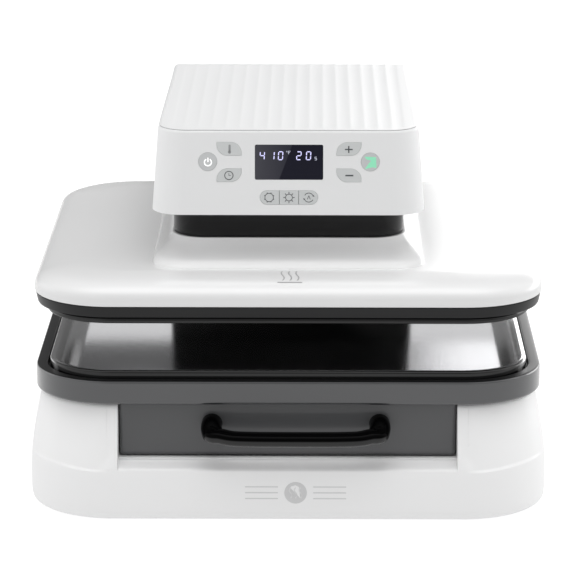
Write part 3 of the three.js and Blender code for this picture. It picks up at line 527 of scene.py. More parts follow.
def cut_notch(obj):
    """Cuts the bay at the back that clears the column, with rounded inner corners."""
    half, front = NOTCH["half"], NOTCH["front"]
    outline = rounded(-half, half, front, SHELL_HI[1] + 30, NOTCH["radius"], 1, n=8)
    tool = new_object("notch_tool", raw_mesh("notch_tool", *loft([(outline, 150), (outline, 260)])))
    mod = obj.modifiers.new("notch", "BOOLEAN")
    mod.operation = "DIFFERENCE"
    mod.solver = "EXACT"
    mod.object = tool
    made = baked(obj)
    bm = bmesh.new()
    bm.from_mesh(made)
    # An open skin doesn't keep the notch's walls.
    centres = [(face, face.calc_center_median() / MM) for face in bm.faces]
    walls = [face for face, c in centres if abs(c.x) < half + 0.01 and c.y > front - 0.01]
    bmesh.ops.delete(bm, geom=walls, context="FACES")
    for face in bm.faces:
        face.smooth = True
    bm.to_mesh(made)
    bm.free()
    bpy.data.objects.remove(tool)


def platen_under():
    """The dark band below the cover and the frame round the heated plate."""
    lo, hi = box("platen_trim")
    z0, z1 = lo[2], SHELL_LO[2] - 0.25
    levels = ((z0 + 0.1, 9.0), (z0, 3.4), (z0 + 0.35, 2.4), (z0 + 1.2, 1.9), (z1 - 1.4, 0.35),
              (z1 - 0.5, 0.3), (z1, 0.9), (z1, 7.0))
    rings = [(inset_outline(hi[0], lo[1], hi[1], inset, 67.6 - inset), z) for z, inset in levels]
    band = piece("platen_trim_skin", *loft(rings, False, False), TRIM_BLACK, "platen", ["platen_trim"],
                 "black_satin")
    cut_notch(band)
    solidify(band, TRIM_WALL)
    lo, hi = box("heater_frame")
    levels = ((hi[2] + 0.2, 0.0), (lo[2] + 1.2, 0.0), (lo[2] + 0.35, 0.35), (lo[2], 1.2))
    rings = [(inset_outline(hi[0], lo[1], hi[1], inset, 57 - inset, 20 - inset), z) for z, inset in levels]
    plate_lo, plate_hi = box("heater_plate")
    gap = 0.7
    inner = rounded(plate_lo[0] - gap, plate_hi[0] + gap, plate_lo[1] - gap, plate_hi[1] + gap, 45.7)
    rings += [(inner, lo[2]), (inner, hi[2] + 0.2)]
    verts, faces = loft(rings, False, False)
    n, last = len(inner), len(inner) * (len(rings) - 1)
    faces += [(last + i, last + (i + 1) % n, (i + 1) % n, i) for i in range(n)]
    weigh(piece("heater_frame_skin", verts, faces, LIP_BLACK, "platen", ["heater_frame"], "black_satin"))


def sleeve():
    lo, hi = SLEEVE_LO, SLEEVE_HI
    levels = ((lo[2] + 0.05, 1.4), (lo[2] + 0.05, 0.5), (lo[2] + 0.5, 0), (hi[2] - 0.6, 0), (hi[2], 0.5),
              (hi[2], 2.2), (hi[2] - 1, 2.5), (lo[2] + 1, 2.5), (lo[2] + 0.05, 1.4))
    rings = [(inset_outline(hi[0], lo[1], hi[1], inset, 28 - inset, n=18), z) for z, inset in levels]
    piece("neck_sleeve_skin", *loft(rings, False, False), SLEEVE_BLACK, "platen", ["neck_sleeve"],
          "black_gloss")


# ------------------------------------------------------------------------------------------
# Tray, mat, drawer front and handle.
def tray():
    lo, hi = box("drawer_tray")
    z0, z1 = lo[2], hi[2]
    outer = [(z0 + 0.05, 12.0), (z0, 3.0), (z0 + 0.45, 1.3), (z0 + 1.5, 0.35), (z0 + 3, 0.0), (z1 - 2.2, 0.0),
             (z1 - 1.1, 0.25)]
    rim = [(z1 - 0.35, 0.8), (z1 - 0.05, 1.7), (z1, 3.2), (z1, 8.6), (z1 - 0.3, 9.5), (z1 - 1.1, 10.0),
           (z1 - 9.0, 10.3)]

    def ring(z, inset):
        return rounded(-hi[0] + inset, hi[0] - inset, lo[1] + inset * 0.95, hi[1] - inset * 0.4,
                       max(68 - inset, 20), max(24 - inset, 8), n=18), z

    verts, faces = loft([ring(*level) for level in outer + rim[:1]], top=False)
    weigh(piece("drawer_tray_body", verts, faces, TRAY_GREY, "drawer", ["drawer_tray"], "grey_satin"))
    verts, faces = loft([ring(*level) for level in rim], bottom=False)
    weigh(piece("drawer_tray_rim", verts, faces, RIM_BLACK, "drawer", slot="grey_satin"))


def mat():
    lo, hi = box("press_mat")
    z1 = hi[2]
    levels = ((lo[2], 0.3), (lo[2] + 0.6, 0.0), (z1 - 2.6, 0.0), (z1 - 1.5, 0.25), (z1 - 0.75, 0.75),
              (z1 - 0.25, 1.5), (z1 - 0.03, 2.6), (z1, 4.0), (z1, 40.0))
    rings = [(inset_outline(hi[0], lo[1], hi[1], inset, 56 - inset * 0.6, max(13 - inset * 0.6, 3), n=18), z)
             for z, inset in levels]
    weigh(piece("press_mat_skin", *loft(rings), MAT_BLACK, "drawer", ["press_mat"], "silicone"))


def drawer_front():
    lo, hi = box("drawer_front")
    outline = rounded(lo[0] - 0.4, hi[0] + 0.4, lo[2], hi[2], 2.6, 1.0, n=6)
    middle = (lo[2] + hi[2]) / 2
    levels = ((hi[1], 1.2), (hi[1], 0.0), (lo[1] + 3.0, 0.0), (lo[1] + 1.9, 0.28), (lo[1] + 1.0, 0.9),
              (lo[1] + 0.35, 1.9), (lo[1] + 0.05, 3.1), (lo[1], 4.4))
    verts = []
    for y, inset in levels:
        for x, z in outline:
            # The upper edge is rolled a quarter as much as the lower one.
            rise = inset * (-0.25 if z > middle else 1.0) * min(abs(z - middle) / (hi[2] - middle), 1)
            verts.append((x * (hi[0] - inset) / hi[0], y, z + rise))
    n, count = len(outline), len(levels)
    faces = tube(count, n) + ends(count, n)
    weigh(piece("drawer_front_skin", verts, faces, DRAWER_GREY, "drawer", ["drawer_front"], "grey_satin"))


def handle():
    """A bow: round posts that swing forward and down into a bar with a flat underside and a crowned front."""
    lo, hi = box("drawer_handle")
    root_y, middle_x = hi[1], (lo[0] + hi[0]) / 2
    post_x, post_z, bar_z = 71.3, 85.2, 79.6
    bar_y = lo[1] + 9.2
    path = [(-post_x, root_y + 0.2, post_z), (-post_x, root_y - 3, post_z),
            (-post_x - 0.3, root_y - 9, post_z - 0.4), (-post_x + 0.2, root_y - 16, post_z - 1.8),
            (-post_x + 2.4, root_y - 23, post_z - 3.8), (-post_x + 8, bar_y + 2.6, bar_z + 1.8),
            (-post_x + 18, bar_y + 0.5, bar_z + 0.5), (-post_x + 34, bar_y, bar_z),
            (-18, bar_y - 0.2, bar_z - 0.1)]
    path += [(-x, y, z) for x, y, z in reversed(path)]
    points = catmull([(x + middle_x, y, z) for x, y, z in path], 9)
    sides, total = 28, len(points)
    verts = []
    for k, p in enumerate(points):
        tangent = Vector(points[min(k + 1, total - 1)]) - Vector(points[max(k - 1, 0)])
        if k in (0, total - 1):
            tangent = Vector((0, -1 if k == 0 else 1, 0))
        tangent.normalize()
        side = tangent.cross(Vector((0, 0, 1)))
        side.normalize()
        up = side.cross(tangent)
        flow = smoothstep(6, 26, root_y - p[1])  # 0 on a post, 1 on the bar
        wide = 9.0 * (1 - flow) + 9.2 * flow
        tall = 8.8 * (1 - flow) + 5.7 * flow
        power = 1 - 0.28 * flow
        for i in range(sides):
            a = i / sides * 2 * pi
            c, s = (copysign(abs(v) ** power, v) for v in (cos(a), sin(a)))
            verts.append(tuple(Vector(p) + side * (wide * c) + up * (tall * s)))
    faces = tube(total, sides) + ends(total, sides)
    obj = piece("drawer_handle_skin", verts, faces, HANDLE_BLACK, "drawer", ["drawer_handle"], "black_gloss")
    sharpen(obj, 50)


def catmull(points, steps):
    """A smooth curve through the points."""
    pts = [Vector(p) for p in points]
    pts = [pts[0] * 2 - pts[1]] + pts + [pts[-1] * 2 - pts[-2]]
    out = []
    for p0, p1, p2, p3 in zip(pts, pts[1:], pts[2:], pts[3:]):
        for t in (k / steps for k in range(steps)):
            out.append(tuple(0.5 * ((2 * p1) + (p2 - p0) * t + (2 * p0 - 5 * p1 + 4 * p2 - p3) * t * t
                                    + (3 * p1 - p0 - 3 * p2 + p3) * t ** 3)))
    return out + [tuple(pts[-2])]


# ------------------------------------------------------------------------------------------
# Control panel outlines.
def panel_point(u, v, w):
    return (u + PANEL_X, HEAD_FRONT + v * sin(LEAN) - w * cos(LEAN),
            HEAD_BOTTOM + v * cos(LEAN) + w * sin(LEAN))


def leaf(u, v, lean, grow, n=14):
    """Two opposite corners square and two wide: lean +1 has its square corners lower left and upper right."""
    hu, hv, bow = 10.5 + grow, 5.8 + grow, 9.2 + grow
    lower = [(-hu, -hv)]
    for i in range(n + 1):
        t = i / n * pi / 2
        y = -hv + bow * (1 - cos(t))
        if y < hv:
            lower.append((hu - bow + bow * sin(t), y))
    points = [(u + a * lean, v + b) for a, b in lower + [(-a, -b) for a, b in lower]]
    return points if lean > 0 else points[::-1]


def mode_segment(index, grow, n=12):
    """One of the strip's three keys: -1 left, 0 middle, 1 right."""
    radius = MODE["height"] / 2 + grow
    third, slit, v = MODE["width"] / 6, MODE["slit"] / 2, MODE["v"]
    if index == 0:
        return bar(0, v, third - slit + grow, radius)
    start, end = third + slit - grow, MODE["width"] / 2 + grow
    points = [(start, v + radius), (start, v - radius)]
    points += [polar(end - radius, v, radius, -pi / 2 + i / n * pi) for i in range(n + 1)]
    return [(-a, b) for a, b in reversed(points)] if index < 0 else points


# Outline of each key, grown by g.
KEYS = {
    "key_power": lambda g: circle(-ROUND["u"], ROUND["v"], ROUND["r"] + g),
    "key_start": lambda g: circle(ROUND["u"], ROUND["v"], ROUND["r"] + g),
    "key_temperature": lambda g: leaf(-LEAF["u"], LEAF["upper"], -1, g),
    "key_timer": lambda g: leaf(-LEAF["u"], LEAF["lower"], 1, g),
    "key_plus": lambda g: leaf(LEAF["u"], LEAF["upper"], 1, g),
    "key_minus": lambda g: leaf(LEAF["u"], LEAF["lower"], -1, g),
    "key_mode_left": lambda g: mode_segment(-1, g),
    "key_mode_middle": lambda g: mode_segment(0, g),
    "key_mode_right": lambda g: mode_segment(1, g),
}


def display_outline(grow):
    half_w, half_h, v = DISPLAY["w"] / 2 + grow, DISPLAY["h"] / 2 + grow, DISPLAY["v"]
    return rounded(-half_w, half_w, v - half_h, v + half_h, 1.3 + grow, n=5)


def strip_outline(grow):
    r, half, v = MODE["height"] / 2 + grow, MODE["width"] / 2 + grow, MODE["v"]
    return rounded(-half, half, v - r, v + r, r - 0.01, n=12)


def outline_normals(outline):
    """Outward directions at an outline's corners, longer where a corner is sharp."""
    out = []
    for a, b, c in zip(outline[-1:] + outline[:-1], outline, outline[1:] + outline[:1]):
        sides = [Vector((q[1] - p[1], p[0] - q[0])) for p, q in ((a, b), (b, c))]
        n1, n2 = (s.normalized() if s.length > 1e-9 else s for s in sides)
        total = n1 + n2
        if total.length < 1e-6:
            total = n1.copy()
        total.normalize()
        total *= 1 / max(total.dot(n1), 0.5)
        out.append((total.x, total.y))
    return out


def slab(name, outline, w0, w1, material, body, edge, replaces, slot, steps=2):
    """A plate in the plane of the panel between two heights, its upper edge rounded by `edge`."""
    levels = [(w0, 0.0), (w1 - edge, 0.0)]
    for i in range(1, steps + 1):
        a = i / steps * pi / 2
        levels.append((w1 - edge + edge * sin(a), edge * (1 - cos(a))))
    normals = outline_normals(outline)
    verts = [panel_point(u - nu * inset, v - nv * inset, w) for w, inset in levels
             for (u, v), (nu, nv) in zip(outline, normals)]
    n, count = len(outline), len(levels)
    first, last = ends(count, n)
    faces = tube(count, n) + [first[::-1], last]
    weigh(sharpen(piece(name, verts, faces, material, body, replaces, slot, weld=False), 40))


def plates(name, polygons, place, low, high, material, body, slot):
    """Thin flat-shaded plates between two heights over a surface given by place(u, v, w)."""
    verts, faces = [], []
    for polygon in polygons:
        n, start = len(polygon), len(verts)
        verts += [place(u, v, w) for w in (low, high) for u, v in polygon]
        faces.append(tuple(start + n + i for i in range(n)))
        faces.append(tuple(start + i for i in range(n - 1, -1, -1)))
        faces += tube(2, n, start)
    obj = piece(name, verts, faces, material, body, slot=slot, weld=False)
    for polygon in obj.data.polygons:
        polygon.use_smooth = False


# ------------------------------------------------------------------------------------------
# Head: roof with flutes, rounded front corners, sides and the column behind, as one skin.
def flute_table(samples=240, soften=0.055):
    """Depth over one pitch: a hollow between two crests, with the crests softened."""
    x = np.linspace(0, 1, samples, endpoint=False)
    hollow = 1 - (2 * x - 1) ** 2
    kernel = np.exp(-0.5 * (np.arange(-40, 41) / (soften * samples)) ** 2)
    kernel /= kernel.sum()
    depths = np.convolve(np.concatenate([hollow] * 3), kernel, "same")[samples : 2 * samples]
    return x, depths, float(depths.min())


FLUTE_X, FLUTE_DEPTHS, CREST_LEVEL = flute_table()


def flute_depth(x):
    half = FLUTES["count"] / 2 * FLUTES["pitch"]
    if abs(x) >= half:
        return 0.0
    share = ((x + half) / FLUTES["pitch"]) % 1.0
    value = float(np.interp(share, FLUTE_X, FLUTE_DEPTHS, period=1.0))
    return FLUTES["depth"] * (value - CREST_LEVEL) * min((half - abs(x)) / 3.0, 1.0)


def half_width(z, y):
    """Half width of the head at a height and depth: it draws in towards the roof and a little to the back."""
    top = min(max((z - HEAD_BOTTOM) / (HEAD_TOP - HEAD_BOTTOM), 0), 1)
    return HEAD_HI[0] - 5.4 * top - 1.4 * smoothstep(-120, 150, y) * (0.3 + 0.7 * top)


def fillet(radius, steps=5):
    """(depth, inset) of the points round an edge."""
    angles = [pi / 2 * (1 - i / steps) for i in range(steps + 1)]
    return [(radius * (1 - sin(a)), radius * (1 - cos(a))) for a in angles]


def head():
    flat_end, arc_z = HEAD_BACK - ROOF_BEND, HEAD_TOP - ROOF_BEND
    side_start, column_bottom = HEAD_FRONT + HEAD_CORNER, HEAD_LO[2]
    panel_lo, panel_hi = box("rear_panel")
    panel_half, panel_low, panel_high = panel_hi[0] + 0.3, panel_lo[2] - 0.3, panel_hi[2] + 0.3
    columns = 321
    across = np.linspace(-1, 1, columns)
    levels = (0.0, 0.06, 0.2, 0.4, 0.62, 0.82, 1.0)  # shares of the way down a side
    # Rows from the front crease back, each (kind, value): corner angle, side y, arc angle, column z.
    rows = [("corner", pi / 2 * (1 - i / 14)) for i in range(15)]
    rows += [("side", side_start + (flat_end - side_start) * t)
             for t in (0.012, 0.03, 0.06, 0.1, 0.16, 0.24, 0.34, 0.46, 0.6, 0.74, 0.88)]
    rows += [("arc", pi / 2 * i / 26) for i in range(27)]
    rows += [("column", z) for z in (230.0, panel_high, 208.0, 184.0, 152.0, panel_low, 116.0, column_bottom)]

    def row_radius(kind, value):
        """Radius of the roof's edge."""
        if kind == "side":
            return 2.6 + 1.2 * smoothstep(side_start, flat_end, value)
        if kind == "arc":
            return 3.8 + 4.2 * smoothstep(0, pi / 2, value)
        return {"corner": 2.6, "column": 8.0}[kind]

    def rib(kind, value, depth, inset):
        """A point on the side of the head: `depth` below the outer surface, `inset` in from the side."""
        if kind == "arc":
            y = flat_end + (ROOF_BEND - depth) * sin(value)
            z = arc_z + (ROOF_BEND - depth) * cos(value)
            return half_width(z, y) - inset, y, z
        if kind == "column":
            return half_width(value, HEAD_BACK - depth) - inset, HEAD_BACK - depth, value
        z = HEAD_TOP - depth
        lean = CREASE_BACK * ((z - HEAD_BOTTOM) / (HEAD_TOP - HEAD_BOTTOM))
        if kind == "side":
            fade = 1 - smoothstep(side_start, side_start + 120, value)
            return half_width(z, value) - inset, value + lean * fade, z
        r = HEAD_CORNER - inset
        return (half_width(z, HEAD_FRONT) - HEAD_CORNER + r * cos(value),
                HEAD_FRONT + lean + HEAD_CORNER - r * sin(value), z)

    def full_depth(kind, value):
        """How far down, in or forward a row's side reaches."""
        if kind == "column":
            return HEAD_BACK - COLUMN_FRONT
        if kind != "arc":
            return HEAD_TOP - HEAD_BOTTOM
        down, out = HEAD_BOTTOM - arc_z, COLUMN_FRONT - flat_end
        return ROOF_BEND - min(down / max(cos(value), 1e-6), out / max(sin(value), 1e-6))

    verts = []
    snap = round((1 + panel_half / HEAD_HI[0]) / 2 * (columns - 1))  # the column at the panel's side
    for kind, value in rows:
        radius = row_radius(kind, value)
        edge = rib(kind, value, 0, radius)
        for at, u in enumerate(across):
            x = edge[0] * u
            if kind == "column" and at in (snap, columns - 1 - snap):
                x = copysign(panel_half, u)
            depth = flute_depth(x)
            if kind == "arc":
                verts.append((x, *rib(kind, value, depth, 0)[1:]))
            elif kind == "column":
                depth *= smoothstep(column_bottom + 150, arc_z - 4, value)
                verts.append((x, HEAD_BACK - depth, value))
            else:
                behind = edge[1] - (HEAD_FRONT + CREASE_BACK + radius)
                depth *= smoothstep(2.5, 11.0, behind) * smoothstep(0.0, 3.0, edge[0] - abs(x))
                verts.append((x, edge[1], edge[2] - depth))
    faces = []
    for k, ((kind, z0), (_, z1)) in enumerate(zip(rows, rows[1:])):
        open_row = kind == "column" and panel_low < (z0 + z1) / 2 < panel_high
        for i in range(columns - 1):
            if not (open_row and columns - 1 - snap <= i < snap):
                a = k * columns + i
                faces.append((a, a + columns, a + columns + 1, a + 1))
    # Sides, each rib from the roof edge over the fillet and down.
    for sign in (1, -1):
        start = len(verts)
        for kind, value in rows:
            radius, full = row_radius(kind, value), full_depth(kind, value)
            steps = fillet(radius) + [(radius + (full - radius) * level, 0) for level in levels[1:]]
            points = [rib(kind, value, depth, inset) for depth, inset in steps]
            verts += [(sign * x, y, z) for x, y, z in points]
        faces += quad_grid(len(rows), len(steps), start)
    # The fillet along the straight front crease.
    start, radius = len(verts), row_radius(*rows[0])
    crease = [rib("corner", pi / 2, depth, inset) for depth, inset in fillet(radius)]
    verts += [(x * u, y, z) for x, y, z in crease for u in across]
    faces += quad_grid(len(crease), columns, start)
    full = HEAD_TOP - HEAD_BOTTOM
    front_face(verts, faces, [rib("corner", pi / 2, radius + (full - radius) * level, 0) for level in levels],
               across)
    obj = piece("head_cover_skin", verts, faces, HEAD_WHITE, "base", ["head_cover"], "white_gloss")
    solidify(obj, COVER_WALL)
    seam = [rib("corner", pi / 2 * (0.12 + 0.88 * i / 20), 0.25, 1.35) for i in range(21)]
    path = [Vector((x, y, z + 0.16)) for x, y, z in seam]
    path += [Vector((-v.x, v.y, v.z)) for v in reversed(path)]
    bead("head_roof_seam", path, 0.34, SEAM_GREY, "base", "white_gloss")


def front_face(verts, faces, right, across):
    """Adds the flat face of the control panel, with an opening for the display and for every key."""
    loop = [(right[0][0] * u, right[0][1], right[0][2]) for u in across]
    loop += right[1:] + [(-x, y, z) for x, y, z in reversed(right[1:])]
    rim = [(x - PANEL_X, (z - HEAD_BOTTOM) / cos(LEAN)) for x, y, z in loop]
    holes = [display_outline(KEY_GAP), strip_outline(KEY_GAP)]
    holes += [make(KEY_GAP) for name, make in KEYS.items() if not name.startswith("key_mode")]
    points, edges = list(rim), loop_edges(len(rim))
    for hole in holes:
        edges += loop_edges(len(hole), len(points))
        points += hole
    points, kept = triangulated(points, edges,
                                lambda c: inside(c, rim) and not any(inside(c, hole) for hole in holes))
    start = len(verts)
    verts += [panel_point(p.x, p.y, 0) for p in points]
    faces += [tuple(start + i for i in face) for face in kept]


def bead(name, path, radius, material, body, slot, n=8):
    """A thin round bead along a path, pointed at both ends."""
    verts, count = [], len(path)
    for i, p in enumerate(path):
        along = (path[min(i + 1, count - 1)] - path[max(i - 1, 0)]).normalized()
        side = along.cross(Vector((0, 0, 1))).normalized()
        up = side.cross(along)
        size = radius * (0.15 if i in (0, count - 1) else 1.0)
        verts += [tuple(p + size * (cos(a) * side + sin(a) * up))
                  for a in (2 * pi * k / n for k in range(n))]
    piece(name, verts, tube(count, n) + ends(count, n), material, body, slot=slot)


def column_shade_plate():
    """A dark plate on the front of the column, behind the platen: painted shade for the shadow between the
    plates, which the mat mirrors.
    """
    half, height, bottom = 115, 138, HEAD_LO[2] + 4
    outline = rounded(-half, half, 0, height, 6, n=6)
    levels = ((COLUMN_FRONT + 1.0, 0.0), (COLUMN_FRONT - 0.2, 0.0), (COLUMN_FRONT - 0.45, 0.4))
    verts = [(x * (1 - inset / half), y, bottom + inset + z * (1 - 2 * inset / height))
             for y, inset in levels for x, z in outline]
    faces = tube(len(levels), len(outline)) + ends(len(levels), len(outline))
    sharpen(piece("column_painted_shade_plate", verts, faces, TRIM_BLACK, "base", slot="black_satin"))


# ------------------------------------------------------------------------------------------
# Keys, their symbols and the display.
def stroke(points, width, closed=False):
    """A band of even width along a line, as one quad for each of its parts."""
    quads = []
    for a, b in zip(points, points[1:] + points[:1] if closed else points[1:]):
        a, b = Vector(a), Vector(b)
        d = b - a
        if d.length < 1e-9:
            continue
        d.normalize()
        s = Vector((-d.y, d.x)) * width / 2
        ext = d * width * 0.18
        quads.append([tuple(a - s - ext), tuple(b - s + ext), tuple(b + s + ext), tuple(a + s - ext)])
    return quads


def arc_points(u, v, radius, a0, a1, n=20):
    return [polar(u, v, radius, radians(a0 + (a1 - a0) * i / n)) for i in range(n + 1)]


def spokes(u, v, inner, outer, width, turn=0.0):
    quads = []
    for i in range(8):
        quads += stroke([polar(u, v, r, i / 8 * 2 * pi + turn) for r in (inner, outer)], width)
    return quads


def symbol(name, polygons, material, body):
    plates("symbol_" + name, polygons, panel_point, 0.0, KEY_PROUD + 0.05, material, body, "key_grey")


def keys():
    for name, make in KEYS.items():
        material = KEY_RING if name in ("key_power", "key_start") else KEY_GREY
        body = name.replace("key_", "") + "_key"
        slab(name + "_cap", make(0.0), -5.0, KEY_PROUD, material, body, 0.45, [name], "key_grey", steps=3)
    u, v = -ROUND["u"] + 0.2, ROUND["v"] - 0.3
    ring = stroke(arc_points(u, v - 0.2, 3.0, 124, 416, 26), 1.0)
    symbol("power", ring + stroke([(u, v + 0.2), (u, v + 3.6)], 1.1), ICON_WHITE, "power_key")
    u, v = ROUND["u"], ROUND["v"]
    flag = [(-5.0, 4.6), (4.8, 4.2), (5.2, -5.2), (2.0, -4.6), (-4.6, -6.0), (-1.2, -1.0), (0.6, 1.0),
            (-3.4, 2.2)]
    symbol("start", [[(u + a, v + b) for a, b in reversed(flag)]], ICON_MINT, "start_key")
    u, v = -LEAF["u"] + 0.5, LEAF["upper"] - 0.2
    stem = rounded(u - 0.95, u + 0.95, v - 3.0, v + 3.8, 0.9, n=6)
    symbol("temperature", [stem, circle(u - 0.1, v - 2.6, 1.35, 26)], ICON_SOFT, "temperature_key")
    u, v = -LEAF["u"] - 0.2, LEAF["lower"] - 0.2
    rim, hands = circle(u, v, 3.55, 40), [(u, v + 1.9), (u, v), (u + 1.7, v)]
    symbol("timer", stroke(rim, 0.75, closed=True) + stroke(hands, 0.5), ICON_MID, "timer_key")
    u, v = LEAF["u"] - 0.2, LEAF["upper"] - 0.4
    symbol("plus", [bar(u, v, 3.3, 0.55), bar(u, v, 0.55, 3.0)], ICON_DARK, "plus_key")
    symbol("minus", [bar(LEAF["u"] + 0.4, LEAF["lower"] - 0.1, 3.4, 0.65)], ICON_DARK, "minus_key")
    u, v = MODE["u"], MODE["v"]
    ring = stroke(circle(-u, v, 3.6, 36), 0.6, closed=True)
    symbol("mode_left", ring + spokes(-u, v, 3.5, 4.3, 1.0, pi / 8), ICON_MID, "mode_left_key")
    ring = stroke(circle(0.0, v, 2.9, 32), 0.65, closed=True)
    symbol("mode_middle", ring + spokes(0.0, v, 3.4, 4.7, 0.75), ICON_MID, "mode_middle_key")
    turns = stroke(arc_points(u, v, 3.9, 20, 150), 0.65) + stroke(arc_points(u, v, 3.9, 200, 330), 0.65)
    heads = [[(u + s * a, v + s * b) for a, b in ((3.1, 1.0), (4.9, 0.6), (4.1, 2.4))] for s in (1, -1)]
    middle = stroke([(u - 1.2, v - 1.4), (u, v + 1.6), (u + 1.2, v - 1.4)], 0.6)
    symbol("mode_right", turns + heads + middle, ICON_MID, "mode_right_key")


def digit(u, v, glyph):
    """Seven bars of a number, each a hexagonal plate, lower left corner at (u, v)."""
    r, g = DIGIT["stroke"] / 2, DIGIT["gap"]
    left, right, low, half, high = r, DIGIT["w"] - r, r, DIGIT["h"] / 2, DIGIT["h"] - r
    bars = {
        "a": (left + g, high, right - g, high), "b": (right, half + g, right, high - g),
        "c": (right, low + g, right, half - g), "d": (left + g, low, right - g, low),
        "e": (left, low + g, left, half - g), "f": (left, half + g, left, high - g),
        "g": (left + g, half, right - g, half),
    }
    out = []
    for x0, y0, x1, y1 in (bars[name] for name in SEGMENTS[glyph]):
        dx, dy = (1, 0) if y0 == y1 else (0, 1)
        # Each corner: the end it belongs to, then how far along the bar and across it.
        corners = ((x0, y0, 0, 0), (x0, y0, 1, -1), (x1, y1, -1, -1), (x1, y1, 0, 0), (x1, y1, -1, 1),
                   (x0, y0, 1, 1))
        hexagon = [(x + r * (a * dx - b * dy), y + r * (a * dy + b * dx)) for x, y, a, b in corners]
        out.append([(u + x + DIGIT["slant"] * y, v + y) for x, y in hexagon])
    return out


def display():
    slab("display_glass_plate", display_outline(0.05), -2.6, -0.12, GLASS, "base", 0.25, ["display_lens"],
         "glass_navy")
    v = DIGIT["v"]
    polygons = []
    for glyph, u in (("4", -25.2), ("1", -16.9), ("0", -9.6), ("2", 6.0), ("0", 14.2)):
        polygons += digit(u, v, glyph)
    plates("display_digits", polygons, panel_point, -0.14, -0.06, DIGIT_GLOW, "base", "glass_navy")
    # A degree ring with an F, and an s for seconds.
    u, top = -0.9, v + 5.2
    small = stroke(circle(u - 0.9, top + 2.2, 0.45, 12), 0.25, closed=True)
    small += stroke([(u + 0.4, top), (u + 0.4, top + 2.5), (u + 2.0, top + 2.5)], 0.38)
    small += stroke([(u + 0.4, top + 1.35), (u + 1.6, top + 1.35)], 0.36)
    s_line = ((1.5, 2.7), (0, 2.7), (0, 1.45), (1.5, 1.45), (1.5, 0.2), (0, 0.2))
    small += stroke([(22.0 + a, v + b) for a, b in s_line], 0.38)
    plates("display_units", small, panel_point, -0.14, -0.06, ICON_UNITS, "base", "glass_navy")


# ------------------------------------------------------------------------------------------
# Base: a bulged skirt, a body drawn in above it, hollows at the front corners and the drawer bay.
def base_half(z):
    return curve_fit(BASE_SIDE, [z])[0]


def base_recess(x, turn, z):
    """How far the front is set in at a height. `turn` is 0 on the flat front and 1 past the corner."""
    ax = abs(x)
    inset = BASE_HI[0] - base_half(z)
    plane = max(2.6 + 13.0 * (z - 48) / 52 - inset, 0)
    lip = 46.6 + 3.2 * smoothstep(158, 215, ax)
    hollow = smoothstep(lip - 0.5, lip + 1.6, z) * plane * (1 - smoothstep(0.25, 0.92, turn))
    web_edge = 158.0 - 8.0 * smoothstep(46, 62, z)
    web = 1 - smoothstep(web_edge - 5.5, web_edge + 4.0, ax)
    shelf = smoothstep(47.5, 55.5, z) * 12.0 * (1 - smoothstep(BAY["x"] + 0.05, BAY["x"] + 0.4, ax))
    web_plane = min(max(10.6 * (z - 46.5) / 33.5 - inset, 0), plane)
    return hollow * (1 - web) + max(shelf, web_plane) * web


def rear_opening(node, flange):
    """Opening in the back wall behind a flanged CAD node: x and z limits."""
    lo, hi = box(node)
    return lo[0] + flange, hi[0] - flange, round(lo[2] + 2.0, 2), round(hi[2] - 2.0, 2)


def base_corner(cx, cy, z, radius, angles, turns=None):
    """Points round one of the base's corners, set in by the front's recess where `turns` are given."""
    points = []
    for a, turn in zip(angles, turns or angles):
        r = radius - (base_recess(cx + radius * cos(a), turn, z) if turns else 0.0)
        points.append((*polar(cx, cy, r, a), z))
    return points


